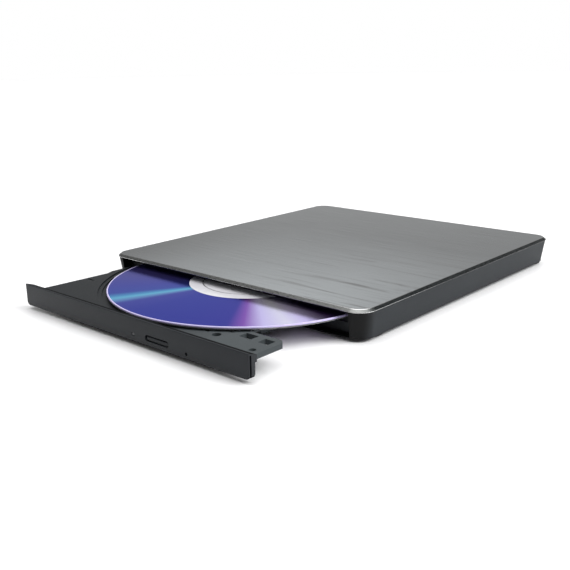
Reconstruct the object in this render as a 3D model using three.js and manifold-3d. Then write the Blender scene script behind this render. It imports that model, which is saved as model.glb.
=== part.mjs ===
// A slim external optical drive with its tray half open, in millimetres: X to the right seen
// from the front, Y to the back, Z up. Every piece is drawn with the tray shut and the case's
// front at Y = 0, on a table at Z = 0. The groups at the end slide the tray and its rails out
// and centre the whole on the origin.
import * as THREE from "three";
import { mergeVertices } from "three/addons/utils/BufferGeometryUtils.js";
import Module from "manifold-3d";

const wasm = await Module();
wasm.setup();

const beyond = 90; // far outside every piece, for cutters
const weld = 0.1; // how far joined blocks run into each other

// Case
const caseWidth = 144;
const caseDepth = 155;
const caseCorner = 7; // radius in plan
const caseBottomZ = 1;
const caseFloorZ = 2; // inner face of the floor
const caseRimZ = 11.6; // top of the lower shell's walls
const shellInset = 0.6; // how far the shell's rim lies inside the cover's edge
const shellLean = 0.9; // how far the walls lean in over their height
const shellWall = 2.3; // measured from the cover's edge
const shellEdgeRound = 0.9;
const openingHalfWidth = 64.8;
const openingSillZ = 1.45;
const openingDepth = 4.6;
const postDepth = 9; // solid posts beside the opening
const rib = { inner: 64.7, outer: 70.4, depth: 1.6, topZ: 9, ys: [36, 76, 116] };
const boardRest = { xs: [-4, 60], width: 4, y0: 140, y1: 150, topZ: 2.4 };
const socketHole = { halfWidth: 4.6, y0: 151, z0: 3, z1: 6.8 };
const coverTopZ = 13;
const coverEdgeZ = 11.8;
const coverThickness = 0.9;
const coverWall = 1.9;
const coverBevel = { inset: 1.24, drop: 1.05 };
const coverBoss = { radius: 2.3, bore: 1.05, bottomZ: 4.5, boreTopZ: 10 };
const shellBoss = { radius: 2.7, topZ: 4.3, bore: 1.15, wellRadius: 2.1, wellTopZ: 2.7 };
const screwX = 67.2;
const screwYs = { front: 14, rear: 148 };
const caseScrewSize = { headRadius: 1.8, z0: 1.5, headTopZ: 2.6, radius: 0.95, topZ: 9.5 };
const foot = { height: 1.3, halfX: 6.5, halfY: 4, corner: 2.5, inwards: 3.7, gap: 0.1 };

// Tray movement, from shut
const trayOpenAtRest = 50;

// Drive chassis and the sheet over it
const driveHalfWidth = 64;
const driveFrontY = 4.7;
const driveRearY = 128.5;
const panZ = 2.3;
const sheet = 0.5;
const wallTopZ = 10.6;
const bay = { left: 46, frontZ: 6, backZ: 7.3, stepY: 21.4 }; // the shelf beside the tray
const panRing = { outer: 30, inner: 28, height: 0.1, gapLeft: -26, gapRight: -4 };
const catchPin = { x: 34.6, y: 23.9, radius: 1.2, topZ: 5.7 };
const coverTab = { inner: 59.5, halfDepth: 2, thickness: 0.4, bore: 0.75 };
const sheetOver = { z0: 10.8, z1: 11.15, ridgeTopZ: 11.35, ridgeOuter: 26, ridgeInner: 23 };
const coverScrewSize = { headRadius: 1.3, headZ: 11.25, headTopZ: 11.75, radius: 0.6, z0: 9.9 };
const coverScrewPlaces = [
  [-61.5, 12],
  [61.5, 12],
  [-61.5, 120],
  [61.5, 120],
];

// Rails: base is the outer face, measured from the middle plane
const railBase = { left: 63.3, right: 45.6 };
const railSide = { left: -1, right: 1 };
const outerRailSize = { inwards: 0, reach: 2.4, thickness: 0.4, y0: 8, y1: 126, z0: 3.15, z1: 6.1 };
const middleRailSize = { inwards: 0.7, reach: 2.6, thickness: 0.35, y0: 34, y1: 122, z0: 3.75, z1: 5.5 };
const tongue = { reach: 2.9, y0: 60, z0: 4.3, z1: 4.95 }; // runs in the middle rail

// Boards, chips and connectors fixed in the case: x0, x1, y0, y1, z0, z1
const mainBoardBox = [47.5, 62.8, 24, 126, 4, 4.8];
const mainChipBox = [49.5, 60.5, 60, 71, 4.85, 6.1];
const bridgeBoardBox = [-8, 64, 132.5, 151.5, 2.45, 3.2];
const bridgeChipBox = [6, 13, 139, 146, 3.25, 4.3];
const capacitorSize = { x: 0.5, y: 143, radius: 2, z0: 3.25, z1: 6.8 };
const plugX = 40; // middle of the connector between the drive and the bridge board
const plug = { halfWidth: 17, y0: 126.5, y1: 131.5, z0: 3.4, z1: 6.8 };
const plugRecess = { halfWidth: 15.5, y0: 129, z0: 4, z1: 6.2 };
const plugHole = { halfWidth: 17.6, z0: 3.1, z1: 7.1 };
const socketBody = { halfWidth: 17.5, y0: 131.9, y1: 138.5, z0: 3.3, z1: 7 };
const socketBlade = { halfWidth: 14.8, y0: 129.4, z0: 4.5, z1: 5.4 };
const usbX = 48;
const usbShell = { halfWidth: 3.9, y0: 144.8, y1: 153.7, z0: 3.3, z1: 6.5 };
const usbWall = 0.4;
const usbBackY = 146.5; // closed back of the mouth
const usbTongue = { halfWidth: 2.3, y0: 146, y1: 152.3, z0: 4.5, z1: 5.2 };

// Flat ribbon from the main board to the tray
const ribbon = { left: -25, right: -5, z0: 2.95, thickness: 0.13, foldY: 19.85, foldTopZ: 3.36 };
const ribbonRun = { y1: 118, upperZ: 3.22, upperEndY: 62, sideY: 108, sideX: 58 };

// Tray
const trayLeft = -59.2;
const trayRight = 44;
const trayFrontY = 4;
const trayRearY = 126;
const trayTopZ = 8.4;
const trayUnderZ = 6.4;
const trayWaist = { front: -59.6, x: -57.8, y: 36.5, endY: 40 }; // the left edge draws in to here
const recess = { z: 7.4, radius: 62, stepRadius: 63.6, stepDepth: 0.5 };
const wing = { right: 61.8, rearY: 20.6, corner: 1.8 };
const trayWall = { inset: 1.2, thickness: 1.5, z0: 3.2 };
const skirt = { left: -59.4, right: 41.7, thickness: 1, rear: 1.5, frontY: 30, z: 3.8 };
const wingSlots = [
  // x0, x1, y0, y1
  [45.6, 51.2, 14.6, 18.6],
  [54.8, 59.2, 14.2, 18.2],
  [37.8, 42.6, 16.6, 18.4],
  [30, 32, 13, 14.6],
];
const wingBores = [
  // x, y, radius
  [38.6, 10.8, 1.7],
  [58.4, 7.9, 1.3],
];

// Bezel and what shows in it
const bezelHalfWidth = 64.3;
const bezelBottomZ = 1.6;
const bezelTopZ = 10.6;
const bezelBackTopZ = 9.4; // the top slopes down behind its front edge
const bezelRidge = 0.6; // level part of the top
const bezelDepth = 3.9;
const bezelThinDepth = 3; // below bezelStepZ
const bezelStepZ = 7;
const bezelCorner = 1.8;
const bezelTaper = 0.2; // the ends draw in this much towards the bottom
const button = { x: 19.3, z: 4.3, length: 12, height: 1.6 };
const buttonHole = { x: 19.45, z: 4.55, length: 12.6, height: 2.3 };
const buttonFace = { y0: 0.4, y1: 3.4 };
const buttonFlange = { halfWidth: 7, y0: 3.2, y1: 3.9, z0: 3.05, z1: 6.3 };
const buttonStem = { z: 5.6, radius: 0.7, y0: 3.5, y1: 6.5 };
const buttonRoom = { halfWidth: 7.8, z0: 2.9, z1: 7.1 };
const pinhole = { x: 34.8, z: 3.5, radius: 0.6, roomRadius: 0.9 };
const led = { x: 6.3, z: 4.4, length: 1.7, height: 1, gap: 0.1 };
const lightGuide = { faceY: 0.1, neckY: 3.05, y1: 6.8, halfWidth: 0.7 };
const ledRoom = { halfWidth: 1.7, halfHeight: 1 };

// Latch, its solenoid and the switch behind the button
const trayBoardBox = [6, 27, 7, 11.6, 4.2, 4.8];
const switchBox = [16.6, 21.6, 8, 11.3, 4.9, 6.2];
const switchTip = { radius: 0.5, y0: 7.5, y1: 8.2 };
const latch = { x: 31.5, pivotY: 12, noseY: 25.4, z0: 4.2, z1: 5.7 };
const latchArm = { halfWidth: 1, nose: 3.4, thickness: 1.4, heelBack: 2.2, eyeRadius: 2.4, bore: 1.6 };
const latchPost = { radius: 1.5, z0: 3.9 };
const solenoidBox = [13, 25, 13, 22, 4.2, 6.2];
const solenoidPin = { y: 17.5, z: 5.2, radius: 0.7, x0: 24.9, x1: 29 };
const plunger = { x: -45, z: 5.05, radius: 1, y0: 112, y1: 127.6, bore: 1.2 };
const plungerCollar = { radius: 1.3, y0: 120.5, y1: 122 };
const pinPassage = [29.5, 39.5, trayRearY - 2, trayRearY + 1, 2, trayUnderZ - 0.1];
const trayPlateBox = [-57.2, 26.5, 8, 123.5, 3.5, 3.75];
const trayPlateHole = 9;
const trayPlateNotch = { left: -26, right: -4, y: 113 };

// Spindle, disc and sled, which lie turned in the tray
const hubX = 2.5;
const hubY = 66;
const traverseTurn = -45; // degrees
const disc = { radius: 60, hole: 7.5, bottomZ: 7.9, thickness: 1.2 };
const hubHole = 16;
const windowRadius = 58.5;
const rodX = 15.5;
const rodZ = 5.5;
const rodRadius = 0.9;
const rodEnds = [-60.5, -12.5];
const screwShaft = { x: 20.5, radius: 1, y0: -57.8, y1: -13.3 };
const lensY = -24; // nearest the hub, where the sled rests
const sledTravel = 28;
const sledFloorZ = 4.5;
const sledHalfWidth = 14;
const sledEars = { inner: 13, outer: 17, z1: 6.6 };
const lens = { radius: 2.3, domeRadius: 3.2, domeZ: 4.3, rimZ: 6.6 };
const lensFrame = { halfX: 5, halfY: 4.2, z0: 6.1, z1: 6.95, bore: 2.5 };
const sledRoom = { halfWidth: 18, screwSide: 24.5, far: -61, farScrewSide: -58.2, near: -2 };
const sledMotorSize = { halfWidth: 2.7, y0: -13, y1: -3, z1: 6.9 };
const traversePlate = { z0: 3.95, z1: 4.25, left: -18.5, right: 24.5, front: -62.4, back: 17, corner: 2.2 };
const rodPost = { halfWidth: 1.6, depth: 1.6, ys: [-60.6, -14], z1: 6.7 };
const screwPost = { halfWidth: 1.7, y0: -57.9, y1: -57, bore: 1.1 };
const laserWindow = [-10, 10, -56, -20];
const traverseSheet = { z0: 7.1, z1: 7.35, gap: 0.3, slotHalf: 7.5, slotEnd: -5 };
const motor = { radius: 13.2, z0: 4.35, z1: 6.2 };
const claw = { z0: 8.2, z1: 9.45, halfWidth: 0.9, root: 4.7, shoulder: 7.1, tip: 7.9, room: 0.15 };
const damperSize = { radius: 2.1, bore: 0.9, z0: 4.35, z1: 6.25 };
const damperScrewSize = { headRadius: 1.5, z0: 3.5, headTopZ: 3.85, radius: 0.7, z1: 6.3 };
const damperHeadRoom = 1.9;
const dampers = [
  [20, 9],
  [-14, 12.5],
  [21.5, -60.2],
];

function finish(color, roughness, metalness) {
  return new THREE.MeshStandardMaterial({ color, roughness, metalness });
}

const finishes = {
  cover: finish(0xa7aaa8, 0.35, 0.9),
  shell: finish(0x33363a, 0.55, 0),
  bezel: finish(0x3c4043, 0.5, 0),
  tray: finish(0x2b2d30, 0.6, 0),
  rubber: finish(0x1c1c1c, 0.9, 0),
  sheetSteel: finish(0xa0a3a5, 0.4, 1),
  blackSteel: finish(0x1f2022, 0.45, 0.6),
  polishedSteel: finish(0xd0d2d4, 0.15, 1),
  board: finish(0x1d5a34, 0.5, 0),
  chip: finish(0x17181a, 0.6, 0),
  connector: finish(0x111214, 0.5, 0),
  flex: finish(0xb8792e, 0.4, 0),
  disc: finish(0x4a3fb0, 0.1, 0.6),
  hub: finish(0x222327, 0.4, 0),
  lens: finish(0x7f8fd0, 0.05, 0),
  lightPipe: finish(0x5d6468, 0.2, 0),
};

// A closed geometry as a solid that can be joined and cut.
function solid(geometry) {
  geometry.deleteAttribute("normal");
  geometry.deleteAttribute("uv");
  const merged = mergeVertices(geometry, 1e-4);
  return new wasm.Manifold(
    new wasm.Mesh({
      numProp: 3,
      vertProperties: merged.attributes.position.array,
      triVerts: new Uint32Array(merged.index.array),
    }),
  );
}

function join(...solids) {
  return solids.reduce((whole, piece) => whole.add(piece));
}

function piece(name, body, material) {
  const { vertProperties, triVerts } = body.getMesh();
  const geometry = new THREE.BufferGeometry();
  geometry.setAttribute("position", new THREE.BufferAttribute(vertProperties, 3));
  geometry.setIndex(new THREE.BufferAttribute(triVerts, 1));
  geometry.computeVertexNormals();
  const mesh = new THREE.Mesh(geometry, material);
  mesh.name = name;
  return mesh;
}

// A box between two values on each axis, in any order.
function box(x0, x1, y0, y1, z0, z1) {
  const geometry = new THREE.BoxGeometry(Math.abs(x1 - x0), Math.abs(y1 - y0), Math.abs(z1 - z0));
  return solid(geometry.translate((x0 + x1) / 2, (y0 + y1) / 2, (z0 + z1) / 2));
}

function upright(x, y, radius, z0, z1, sides = 24) {
  const geometry = new THREE.CylinderGeometry(radius, radius, z1 - z0, sides);
  return solid(geometry.rotateX(Math.PI / 2).translate(x, y, (z0 + z1) / 2));
}

function alongY(x, z, radius, y0, y1, sides = 16) {
  const geometry = new THREE.CylinderGeometry(radius, radius, y1 - y0, sides);
  return solid(geometry.translate(x, (y0 + y1) / 2, z));
}

function alongX(y, z, radius, x0, x1, sides = 16) {
  const geometry = new THREE.CylinderGeometry(radius, radius, x1 - x0, sides);
  return solid(geometry.rotateZ(Math.PI / 2).translate((x0 + x1) / 2, y, z));
}

// A profile of radius and height pairs turned about the Z axis.
function turned(profile, sides = 32) {
  const points = profile.map(([radius, z]) => new THREE.Vector2(radius, z));
  return solid(new THREE.LatheGeometry(points, sides).rotateX(Math.PI / 2));
}

function roundedRectangle(x0, x1, y0, y1, radius) {
  const shape = new THREE.Shape();
  const quarter = Math.PI / 2;
  shape.absarc(x1 - radius, y0 + radius, radius, -quarter, 0);
  shape.absarc(x1 - radius, y1 - radius, radius, 0, quarter);
  shape.absarc(x0 + radius, y1 - radius, radius, quarter, 2 * quarter);
  shape.absarc(x0 + radius, y0 + radius, radius, 2 * quarter, 3 * quarter);
  return shape;
}

function outline(points) {
  return new THREE.Shape(points.map(([x, y]) => new THREE.Vector2(x, y)));
}

function slab(shape, z0, z1, curveSegments = 8) {
  const geometry = new THREE.ExtrudeGeometry(shape, { depth: z1 - z0, bevelEnabled: false, curveSegments });
  return solid(geometry.translate(0, 0, z0));
}

// A shape drawn in Y and Z and given its length along X.
function sideSlab(shape, x0, x1) {
  const geometry = new THREE.ExtrudeGeometry(shape, { depth: x1 - x0, bevelEnabled: false });
  return solid(geometry.rotateX(Math.PI / 2).rotateZ(Math.PI / 2).translate(x0, 0, 0));
}

// A shape drawn in X and Z and given its depth along Y.
function frontSlab(shape, y0, y1, curveSegments = 8) {
  const geometry = new THREE.ExtrudeGeometry(shape, { depth: y1 - y0, bevelEnabled: false, curveSegments });
  return solid(geometry.rotateX(Math.PI / 2).translate(0, y1, 0));
}

// The case's outline drawn in by margin, as a block whose edges are cut back by inset over
// drop at both ends.
function caseBlock(z0, z1, margin, inset, drop, bevelSegments) {
  const half = caseWidth / 2 - margin - inset;
  const near = margin + inset;
  const shape = roundedRectangle(-half, half, near, caseDepth - near, caseCorner - near);
  const geometry = new THREE.ExtrudeGeometry(shape, {
    depth: z1 - z0 - 2 * drop,
    bevelThickness: drop,
    bevelSize: inset,
    bevelSegments,
    curveSegments: 6,
  });
  return geometry.translate(0, 0, z0 + drop);
}

// Pulls a block's walls in towards the floor.
function leanIn(geometry) {
  const position = geometry.attributes.position;
  for (let i = 0; i < position.count; i++) {
    const pull = (shellLean * (caseRimZ - position.getZ(i))) / (caseRimZ - caseBottomZ);
    position.setX(i, position.getX(i) * (1 - pull / (caseWidth / 2)));
    const fromMiddle = position.getY(i) - caseDepth / 2;
    position.setY(i, caseDepth / 2 + fromMiddle * (1 - pull / (caseDepth / 2)));
  }
  return geometry;
}

// The case's outline drawn in by margin, for the hollow inside a wall.
function caseHollow(margin, z0, z1) {
  const half = caseWidth / 2 - margin;
  const shape = roundedRectangle(-half, half, margin, caseDepth - margin, caseCorner - margin);
  return slab(shape, z0, z1, 6);
}

const screwPlaces = [];
for (const [end, y] of Object.entries(screwYs)) {
  for (const [side, sign] of Object.entries(railSide)) {
    screwPlaces.push({ name: `${end}_${side}`, x: sign * screwX, y, sign });
  }
}

function topCover() {
  const { inset, drop } = coverBevel;
  const block = solid(caseBlock(coverEdgeZ - 3, coverTopZ, 0, inset, drop, 1));
  const underZ = coverTopZ - coverThickness;
  let cover = block.subtract(box(-beyond, beyond, -beyond, 2 * beyond, 0, coverEdgeZ));
  cover = cover.subtract(caseHollow(coverWall, coverEdgeZ - 1, underZ));
  for (const { x, y } of screwPlaces) {
    cover = cover.add(upright(x, y, coverBoss.radius, coverBoss.bottomZ, underZ + weld));
    cover = cover.subtract(upright(x, y, coverBoss.bore, 0, coverBoss.boreTopZ));
  }
  return cover;
}

function bottomCase() {
  const round = shellEdgeRound;
  const block = solid(leanIn(caseBlock(caseBottomZ, coverTopZ + 2, shellInset, round, round, 3)));
  let hollow = caseHollow(shellWall, caseFloorZ, coverTopZ);
  for (const sign of [-1, 1]) {
    hollow = hollow.subtract(box(sign * openingHalfWidth, sign * beyond, -1, postDepth, 0, 20));
  }
  let shell = block.subtract(box(-beyond, beyond, -beyond, 2 * beyond, caseRimZ, 20)).subtract(hollow);
  shell = shell.subtract(box(-openingHalfWidth, openingHalfWidth, -1, openingDepth, openingSillZ, 20));
  for (const { x, y } of screwPlaces) {
    shell = shell.add(upright(x, y, shellBoss.radius, caseFloorZ - weld, shellBoss.topZ));
    shell = shell.subtract(upright(x, y, shellBoss.bore, 0, shellBoss.topZ + 1));
    shell = shell.subtract(upright(x, y, shellBoss.wellRadius, 0, shellBoss.wellTopZ));
  }
  for (const place of screwPlaces) {
    shell = shell.subtract(slab(footOutline(place, foot.gap), 0, foot.height + foot.gap, 4));
  }
  for (const sign of [-1, 1]) {
    for (const y of rib.ys) {
      const post = box(sign * rib.inner, sign * rib.outer, y, y + rib.depth, caseFloorZ - weld, rib.topZ);
      shell = shell.add(post);
    }
  }
  for (const x of boardRest.xs) {
    const { width, y0, y1, topZ } = boardRest;
    shell = shell.add(box(x, x + width, y0, y1, caseFloorZ - weld, topZ));
  }
  const { halfWidth, y0, z0, z1 } = socketHole;
  return shell.subtract(box(usbX - halfWidth, usbX + halfWidth, y0, caseDepth + 1, z0, z1));
}

function footOutline({ x, y, sign }, margin) {
  const middle = x - sign * foot.inwards;
  const halfX = foot.halfX + margin;
  const halfY = foot.halfY + margin;
  return roundedRectangle(middle - halfX, middle + halfX, y - halfY, y + halfY, foot.corner + margin);
}

// A screw standing on its head: the head from z0, the shaft up to topZ.
function caseScrew({ x, y }) {
  const { headRadius, z0, headTopZ, radius, topZ } = caseScrewSize;
  return join(upright(x, y, headRadius, z0, headTopZ), upright(x, y, radius, headTopZ - weld, topZ));
}

function driveChassis() {
  const w = driveHalfWidth;
  const front = driveFrontY;
  const rear = driveRearY;
  const ringZ = panZ + sheet;
  const ring = upright(hubX, hubY, panRing.outer, ringZ - weld, ringZ + panRing.height, 48)
    .subtract(upright(hubX, hubY, panRing.inner, 0, ringZ + 1, 48))
    .subtract(box(panRing.gapLeft, panRing.gapRight, 0, rear, 0, ringZ + 1));
  let chassis = join(
    box(-w, w, front, rear, panZ, panZ + sheet),
    box(-w, -w + sheet, front, rear, panZ, wallTopZ),
    box(w - sheet, w, front, rear, panZ, wallTopZ),
    box(-w, w, rear - sheet, rear, panZ, wallTopZ),
    box(bay.left, w, front, front + sheet, panZ, bay.frontZ),
    box(bay.left, w, front, bay.stepY + sheet, bay.frontZ - sheet, bay.frontZ),
    box(bay.left, w, bay.stepY, bay.stepY + sheet, bay.frontZ - sheet, bay.backZ),
    box(bay.left, w, bay.stepY, rear, bay.backZ - sheet, bay.backZ),
    upright(catchPin.x, catchPin.y, catchPin.radius, panZ, catchPin.topZ),
    ring,
  );
  const { halfWidth, z0, z1 } = plugHole;
  chassis = chassis.subtract(box(plugX - halfWidth, plugX + halfWidth, rear - 2, rear + 2, z0, z1));
  const { inner, halfDepth, thickness, bore } = coverTab;
  for (const [x, y] of coverScrewPlaces) {
    const sign = Math.sign(x);
    const edge = sign * (w - sheet / 2);
    const tab = box(sign * inner, edge, y - halfDepth, y + halfDepth, wallTopZ - thickness, wallTopZ);
    chassis = chassis.add(tab).subtract(upright(x, y, bore, wallTopZ - 1, wallTopZ + 1, 12));
  }
  return chassis;
}

function driveCover() {
  const { z0, z1, ridgeTopZ, ridgeOuter, ridgeInner } = sheetOver;
  const w = driveHalfWidth - 0.1;
  let cover = box(-w, w, driveFrontY + 0.5, driveRearY - 0.1, z0, z1);
  const ridge = upright(hubX, hubY, ridgeOuter, z1 - weld, ridgeTopZ, 48);
  cover = cover.add(ridge.subtract(upright(hubX, hubY, ridgeInner, z0, ridgeTopZ + 1, 48)));
  for (const [x, y] of coverScrewPlaces) {
    cover = cover.subtract(upright(x, y, coverTab.bore, z0 - 1, z1 + 1, 12));
  }
  return cover;
}

function coverScrew([x, y]) {
  const { headRadius, headZ, headTopZ, radius, z0 } = coverScrewSize;
  return join(upright(x, y, headRadius, headZ, headTopZ, 16), upright(x, y, radius, z0, headZ + weld, 12));
}

// A C-section rail whose open side faces the middle of the drive.
function rail(side, { inwards, reach, thickness, y0, y1, z0, z1 }) {
  const sign = railSide[side];
  const base = railBase[side] - inwards;
  const back = sign * base;
  const mouth = sign * (base - reach);
  return join(
    box(back, sign * (base - thickness), y0, y1, z0, z1),
    box(back, mouth, y0, y1, z0, z0 + thickness),
    box(back, mouth, y0, y1, z1 - thickness, z1),
  );
}

function capacitor() {
  const { x, y, radius, z0, z1 } = capacitorSize;
  return upright(x, y, radius, z0, z1, 20);
}

// A flat ribbon: along the pan from the main board, folded back on itself to the tray.
function flexCable() {
  const { left, right, z0, thickness, foldY, foldTopZ } = ribbon;
  const { y1, upperZ, upperEndY, sideY, sideX } = ribbonRun;
  const startY = foldY + thickness + 0.02;
  return join(
    box(left, right, startY, y1, z0, z0 + thickness),
    box(left, sideX, sideY, y1, z0, z0 + thickness),
    box(left, right, foldY, startY, z0, foldTopZ),
    box(left, right, foldY, upperEndY, upperZ, foldTopZ),
  );
}

function sataPlug() {
  const shell = box(plugX - plug.halfWidth, plugX + plug.halfWidth, plug.y0, plug.y1, plug.z0, plug.z1);
  const half = plugRecess.halfWidth;
  const inner = box(plugX - half, plugX + half, plugRecess.y0, plug.y1 + 1, plugRecess.z0, plugRecess.z1);
  return shell.subtract(inner);
}

function sataSocket() {
  const { halfWidth, y0, y1, z0, z1 } = socketBody;
  const body = box(plugX - halfWidth, plugX + halfWidth, y0, y1, z0, z1);
  const half = socketBlade.halfWidth;
  return body.add(box(plugX - half, plugX + half, socketBlade.y0, y0 + weld, socketBlade.z0, socketBlade.z1));
}

// A small five-contact socket: a folded steel shell, shut behind, with the contact tongue inside.
function usbSocket() {
  const { halfWidth, y0, y1, z0, z1 } = usbShell;
  const inner = halfWidth - usbWall;
  const half = usbTongue.halfWidth;
  return box(usbX - halfWidth, usbX + halfWidth, y0, y1, z0, z1)
    .subtract(box(usbX - inner, usbX + inner, usbBackY, y1 + 1, z0 + usbWall, z1 - usbWall))
    .add(box(usbX - half, usbX + half, usbTongue.y0, usbTongue.y1, usbTongue.z0, usbTongue.z1));
}

// The plate the disc lies over, with its front wing, recess and the openings through it.
function trayTop() {
  const plan = outline([
    [trayWaist.front, trayFrontY],
    [wing.right, trayFrontY],
    [wing.right, wing.rearY - wing.corner],
    [wing.right - wing.corner, wing.rearY],
    [trayRight, wing.rearY],
    [trayRight, trayRearY],
    [trayLeft, trayRearY],
    [trayLeft, trayWaist.endY],
    [trayWaist.x, trayWaist.y],
  ]);
  const { z, radius, stepRadius, stepDepth } = recess;
  const window = traverseRoom(0, trayTopZ + 1).intersect(upright(0, 0, windowRadius, 5, trayTopZ + 1, 64));
  let top = slab(plan, trayUnderZ, trayTopZ)
    .subtract(upright(hubX, hubY, radius, z, trayTopZ + 1, 96))
    .subtract(upright(hubX, hubY, stepRadius, trayTopZ - stepDepth, trayTopZ + 1, 96))
    .subtract(inTraverse(traverseRoom(0, traverseSheet.z0 - 0.15)))
    .subtract(inTraverse(window))
    .subtract(upright(hubX, hubY, hubHole, 5, trayTopZ + 1, 40));
  for (const [x0, x1, y0, y1] of wingSlots) {
    top = top.subtract(box(x0, x1, y0, y1, 5, trayTopZ + 1));
  }
  for (const [x, y, boreRadius] of wingBores) {
    top = top.subtract(upright(x, y, boreRadius, 5, trayTopZ + 1, 20));
  }
  return top;
}

function tray() {
  const left = skirt.left;
  const right = skirt.right;
  const rear = trayRearY;
  const topZ = trayUnderZ + 0.2;
  const railEndY = rear - 0.5;
  const wallBackY = trayFrontY + trayWall.thickness;
  let body = join(
    trayTop(),
    box(trayLeft + trayWall.inset, trayRight, trayFrontY, wallBackY, trayWall.z0, recess.z),
    box(left, left + skirt.thickness, skirt.frontY, rear, skirt.z, topZ),
    box(right, right - skirt.thickness, skirt.frontY, rear, skirt.z, topZ),
    box(left, right, rear - skirt.rear, rear, skirt.z, topZ),
    box(left - tongue.reach + 0.4, left + 0.5, tongue.y0, railEndY, tongue.z0, tongue.z1),
    box(right + tongue.reach - 0.4, right - 0.5, tongue.y0, railEndY, tongue.z0, tongue.z1),
    upright(latch.x, latch.pivotY, latchPost.radius, latchPost.z0, trayUnderZ + weld),
  );
  // passage for the catch pin, and room for the button, the light, the pinhole and the plunger
  const y0 = trayFrontY - 1;
  const y1 = trayFrontY + 2;
  const { halfWidth, z0, z1 } = buttonRoom;
  body = body.subtract(box(...pinPassage));
  body = body.subtract(box(button.x - halfWidth, button.x + halfWidth, y0, y1, z0, z1));
  const ledX = ledRoom.halfWidth;
  const ledZ = ledRoom.halfHeight;
  body = body.subtract(box(led.x - ledX, led.x + ledX, y0, y1, led.z - ledZ, led.z + ledZ));
  body = body.subtract(alongY(pinhole.x, pinhole.z, pinhole.roomRadius, y0, y1, 12));
  return body.subtract(alongY(plunger.x, plunger.z, plunger.bore, rear - 3, rear + 1));
}

function frontBezel() {
  const w = bezelHalfWidth;
  const corner = bezelCorner;
  const quarter = Math.PI / 2;
  const shape = new THREE.Shape();
  shape.moveTo(w, bezelTopZ);
  shape.lineTo(-w, bezelTopZ);
  shape.absarc(-w + corner + bezelTaper, bezelBottomZ + corner, corner, 2 * quarter, 3 * quarter);
  shape.absarc(w - corner - bezelTaper, bezelBottomZ + corner, corner, 3 * quarter, 4 * quarter);
  const slope = outline([
    [bezelRidge, bezelTopZ],
    [bezelDepth, bezelBackTopZ],
    [bezelDepth + 1, bezelBackTopZ],
    [bezelDepth + 1, bezelTopZ + 1],
    [bezelRidge, bezelTopZ + 1],
  ]);
  const { radius } = pinhole;
  return frontSlab(shape, 0, bezelDepth, 5)
    .subtract(sideSlab(slope, -w - 1, w + 1))
    .subtract(box(-w - 1, w + 1, bezelThinDepth, bezelDepth + 1, 0, bezelStepZ))
    .subtract(frontSlab(pill(buttonHole, 0), -1, bezelDepth + 1, 6))
    .subtract(frontSlab(pill(led, led.gap), -1, bezelDepth + 1, 4))
    .subtract(alongY(pinhole.x, pinhole.z, radius, -1, bezelDepth + 1, 12));
}

// A round-ended shape in X and Z, drawn larger by margin.
function pill({ x, z, length, height }, margin) {
  const half = length / 2 + margin;
  const rise = height / 2 + margin;
  return roundedRectangle(x - half, x + half, z - rise, z + rise, rise - 0.01);
}

function ejectButton() {
  const { halfWidth, y0, y1, z0, z1 } = buttonFlange;
  return join(
    frontSlab(pill(button, 0), buttonFace.y0, buttonFace.y1, 6),
    box(button.x - halfWidth, button.x + halfWidth, y0, y1, z0, z1),
    alongY(button.x, buttonStem.z, buttonStem.radius, buttonStem.y0, buttonStem.y1, 12),
  );
}

function ejectSwitch() {
  const { radius, y0, y1 } = switchTip;
  return box(...switchBox).add(alongY(button.x, buttonStem.z, radius, y0, y1, 10));
}

function lightPipe() {
  const { faceY, neckY, y1, halfWidth } = lightGuide;
  const { x, z, height } = led;
  return join(
    frontSlab(pill(led, 0), faceY, neckY + 0.05, 4),
    box(x - halfWidth, x + halfWidth, neckY, y1, z - height / 2, z + height / 2),
  );
}

// The lever that holds the tray shut: it turns on the tray's post and hooks behind the catch pin.
function latchHook() {
  const { x, pivotY, noseY, z0, z1 } = latch;
  const { halfWidth, nose, thickness, heelBack, eyeRadius, bore } = latchArm;
  const heelY = pivotY - heelBack;
  return join(
    upright(x, pivotY, eyeRadius, z0, z1),
    box(x - halfWidth, x + halfWidth, pivotY, noseY + thickness, z0, z1),
    box(x - halfWidth, x + nose, noseY, noseY + thickness, z0, z1),
    box(x + halfWidth, x + nose, heelY, heelY + thickness, z0, z1),
  ).subtract(upright(x, pivotY, bore, z0 - 1, z1 + 1));
}

function latchSolenoid() {
  const { y, z, radius, x0, x1 } = solenoidPin;
  return box(...solenoidBox).add(alongX(y, z, radius, x0, x1, 12));
}

// The sprung pin that pushes the tray off the drive's rear wall.
function ejectPlunger() {
  const { x, z, radius, y0, y1 } = plunger;
  const collar = plungerCollar;
  return join(alongY(x, z, radius, y0, y1), alongY(x, z, collar.radius, collar.y0, collar.y1));
}

function trayBottomPlate() {
  const { left, right, y } = trayPlateNotch;
  let plate = box(...trayPlateBox)
    .subtract(upright(hubX, hubY, trayPlateHole, 3, 4, 32))
    .subtract(box(left, right, y, trayRearY, 3, 4));
  for (const [x, damperY] of dampers) {
    plate = plate.subtract(inTraverse(upright(x, damperY, damperHeadRoom, 3, 4, 16)));
  }
  return plate;
}

// Places a solid that is drawn about the spindle, with the sled's travel along -Y, in the tray.
function inTraverse(body) {
  return body.rotate([0, 0, traverseTurn]).translate([hubX, hubY, 0]);
}

// The room over the sled and its screw, which is open to the disc only inside windowRadius.
function traverseRoom(inset, z1) {
  const { halfWidth, screwSide, far, farScrewSide, near } = sledRoom;
  return join(
    box(-halfWidth + inset, halfWidth - inset, far + inset, near - inset, 5, z1),
    box(0, screwSide - inset, farScrewSide + inset, near - inset, 5, z1),
  );
}

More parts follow.
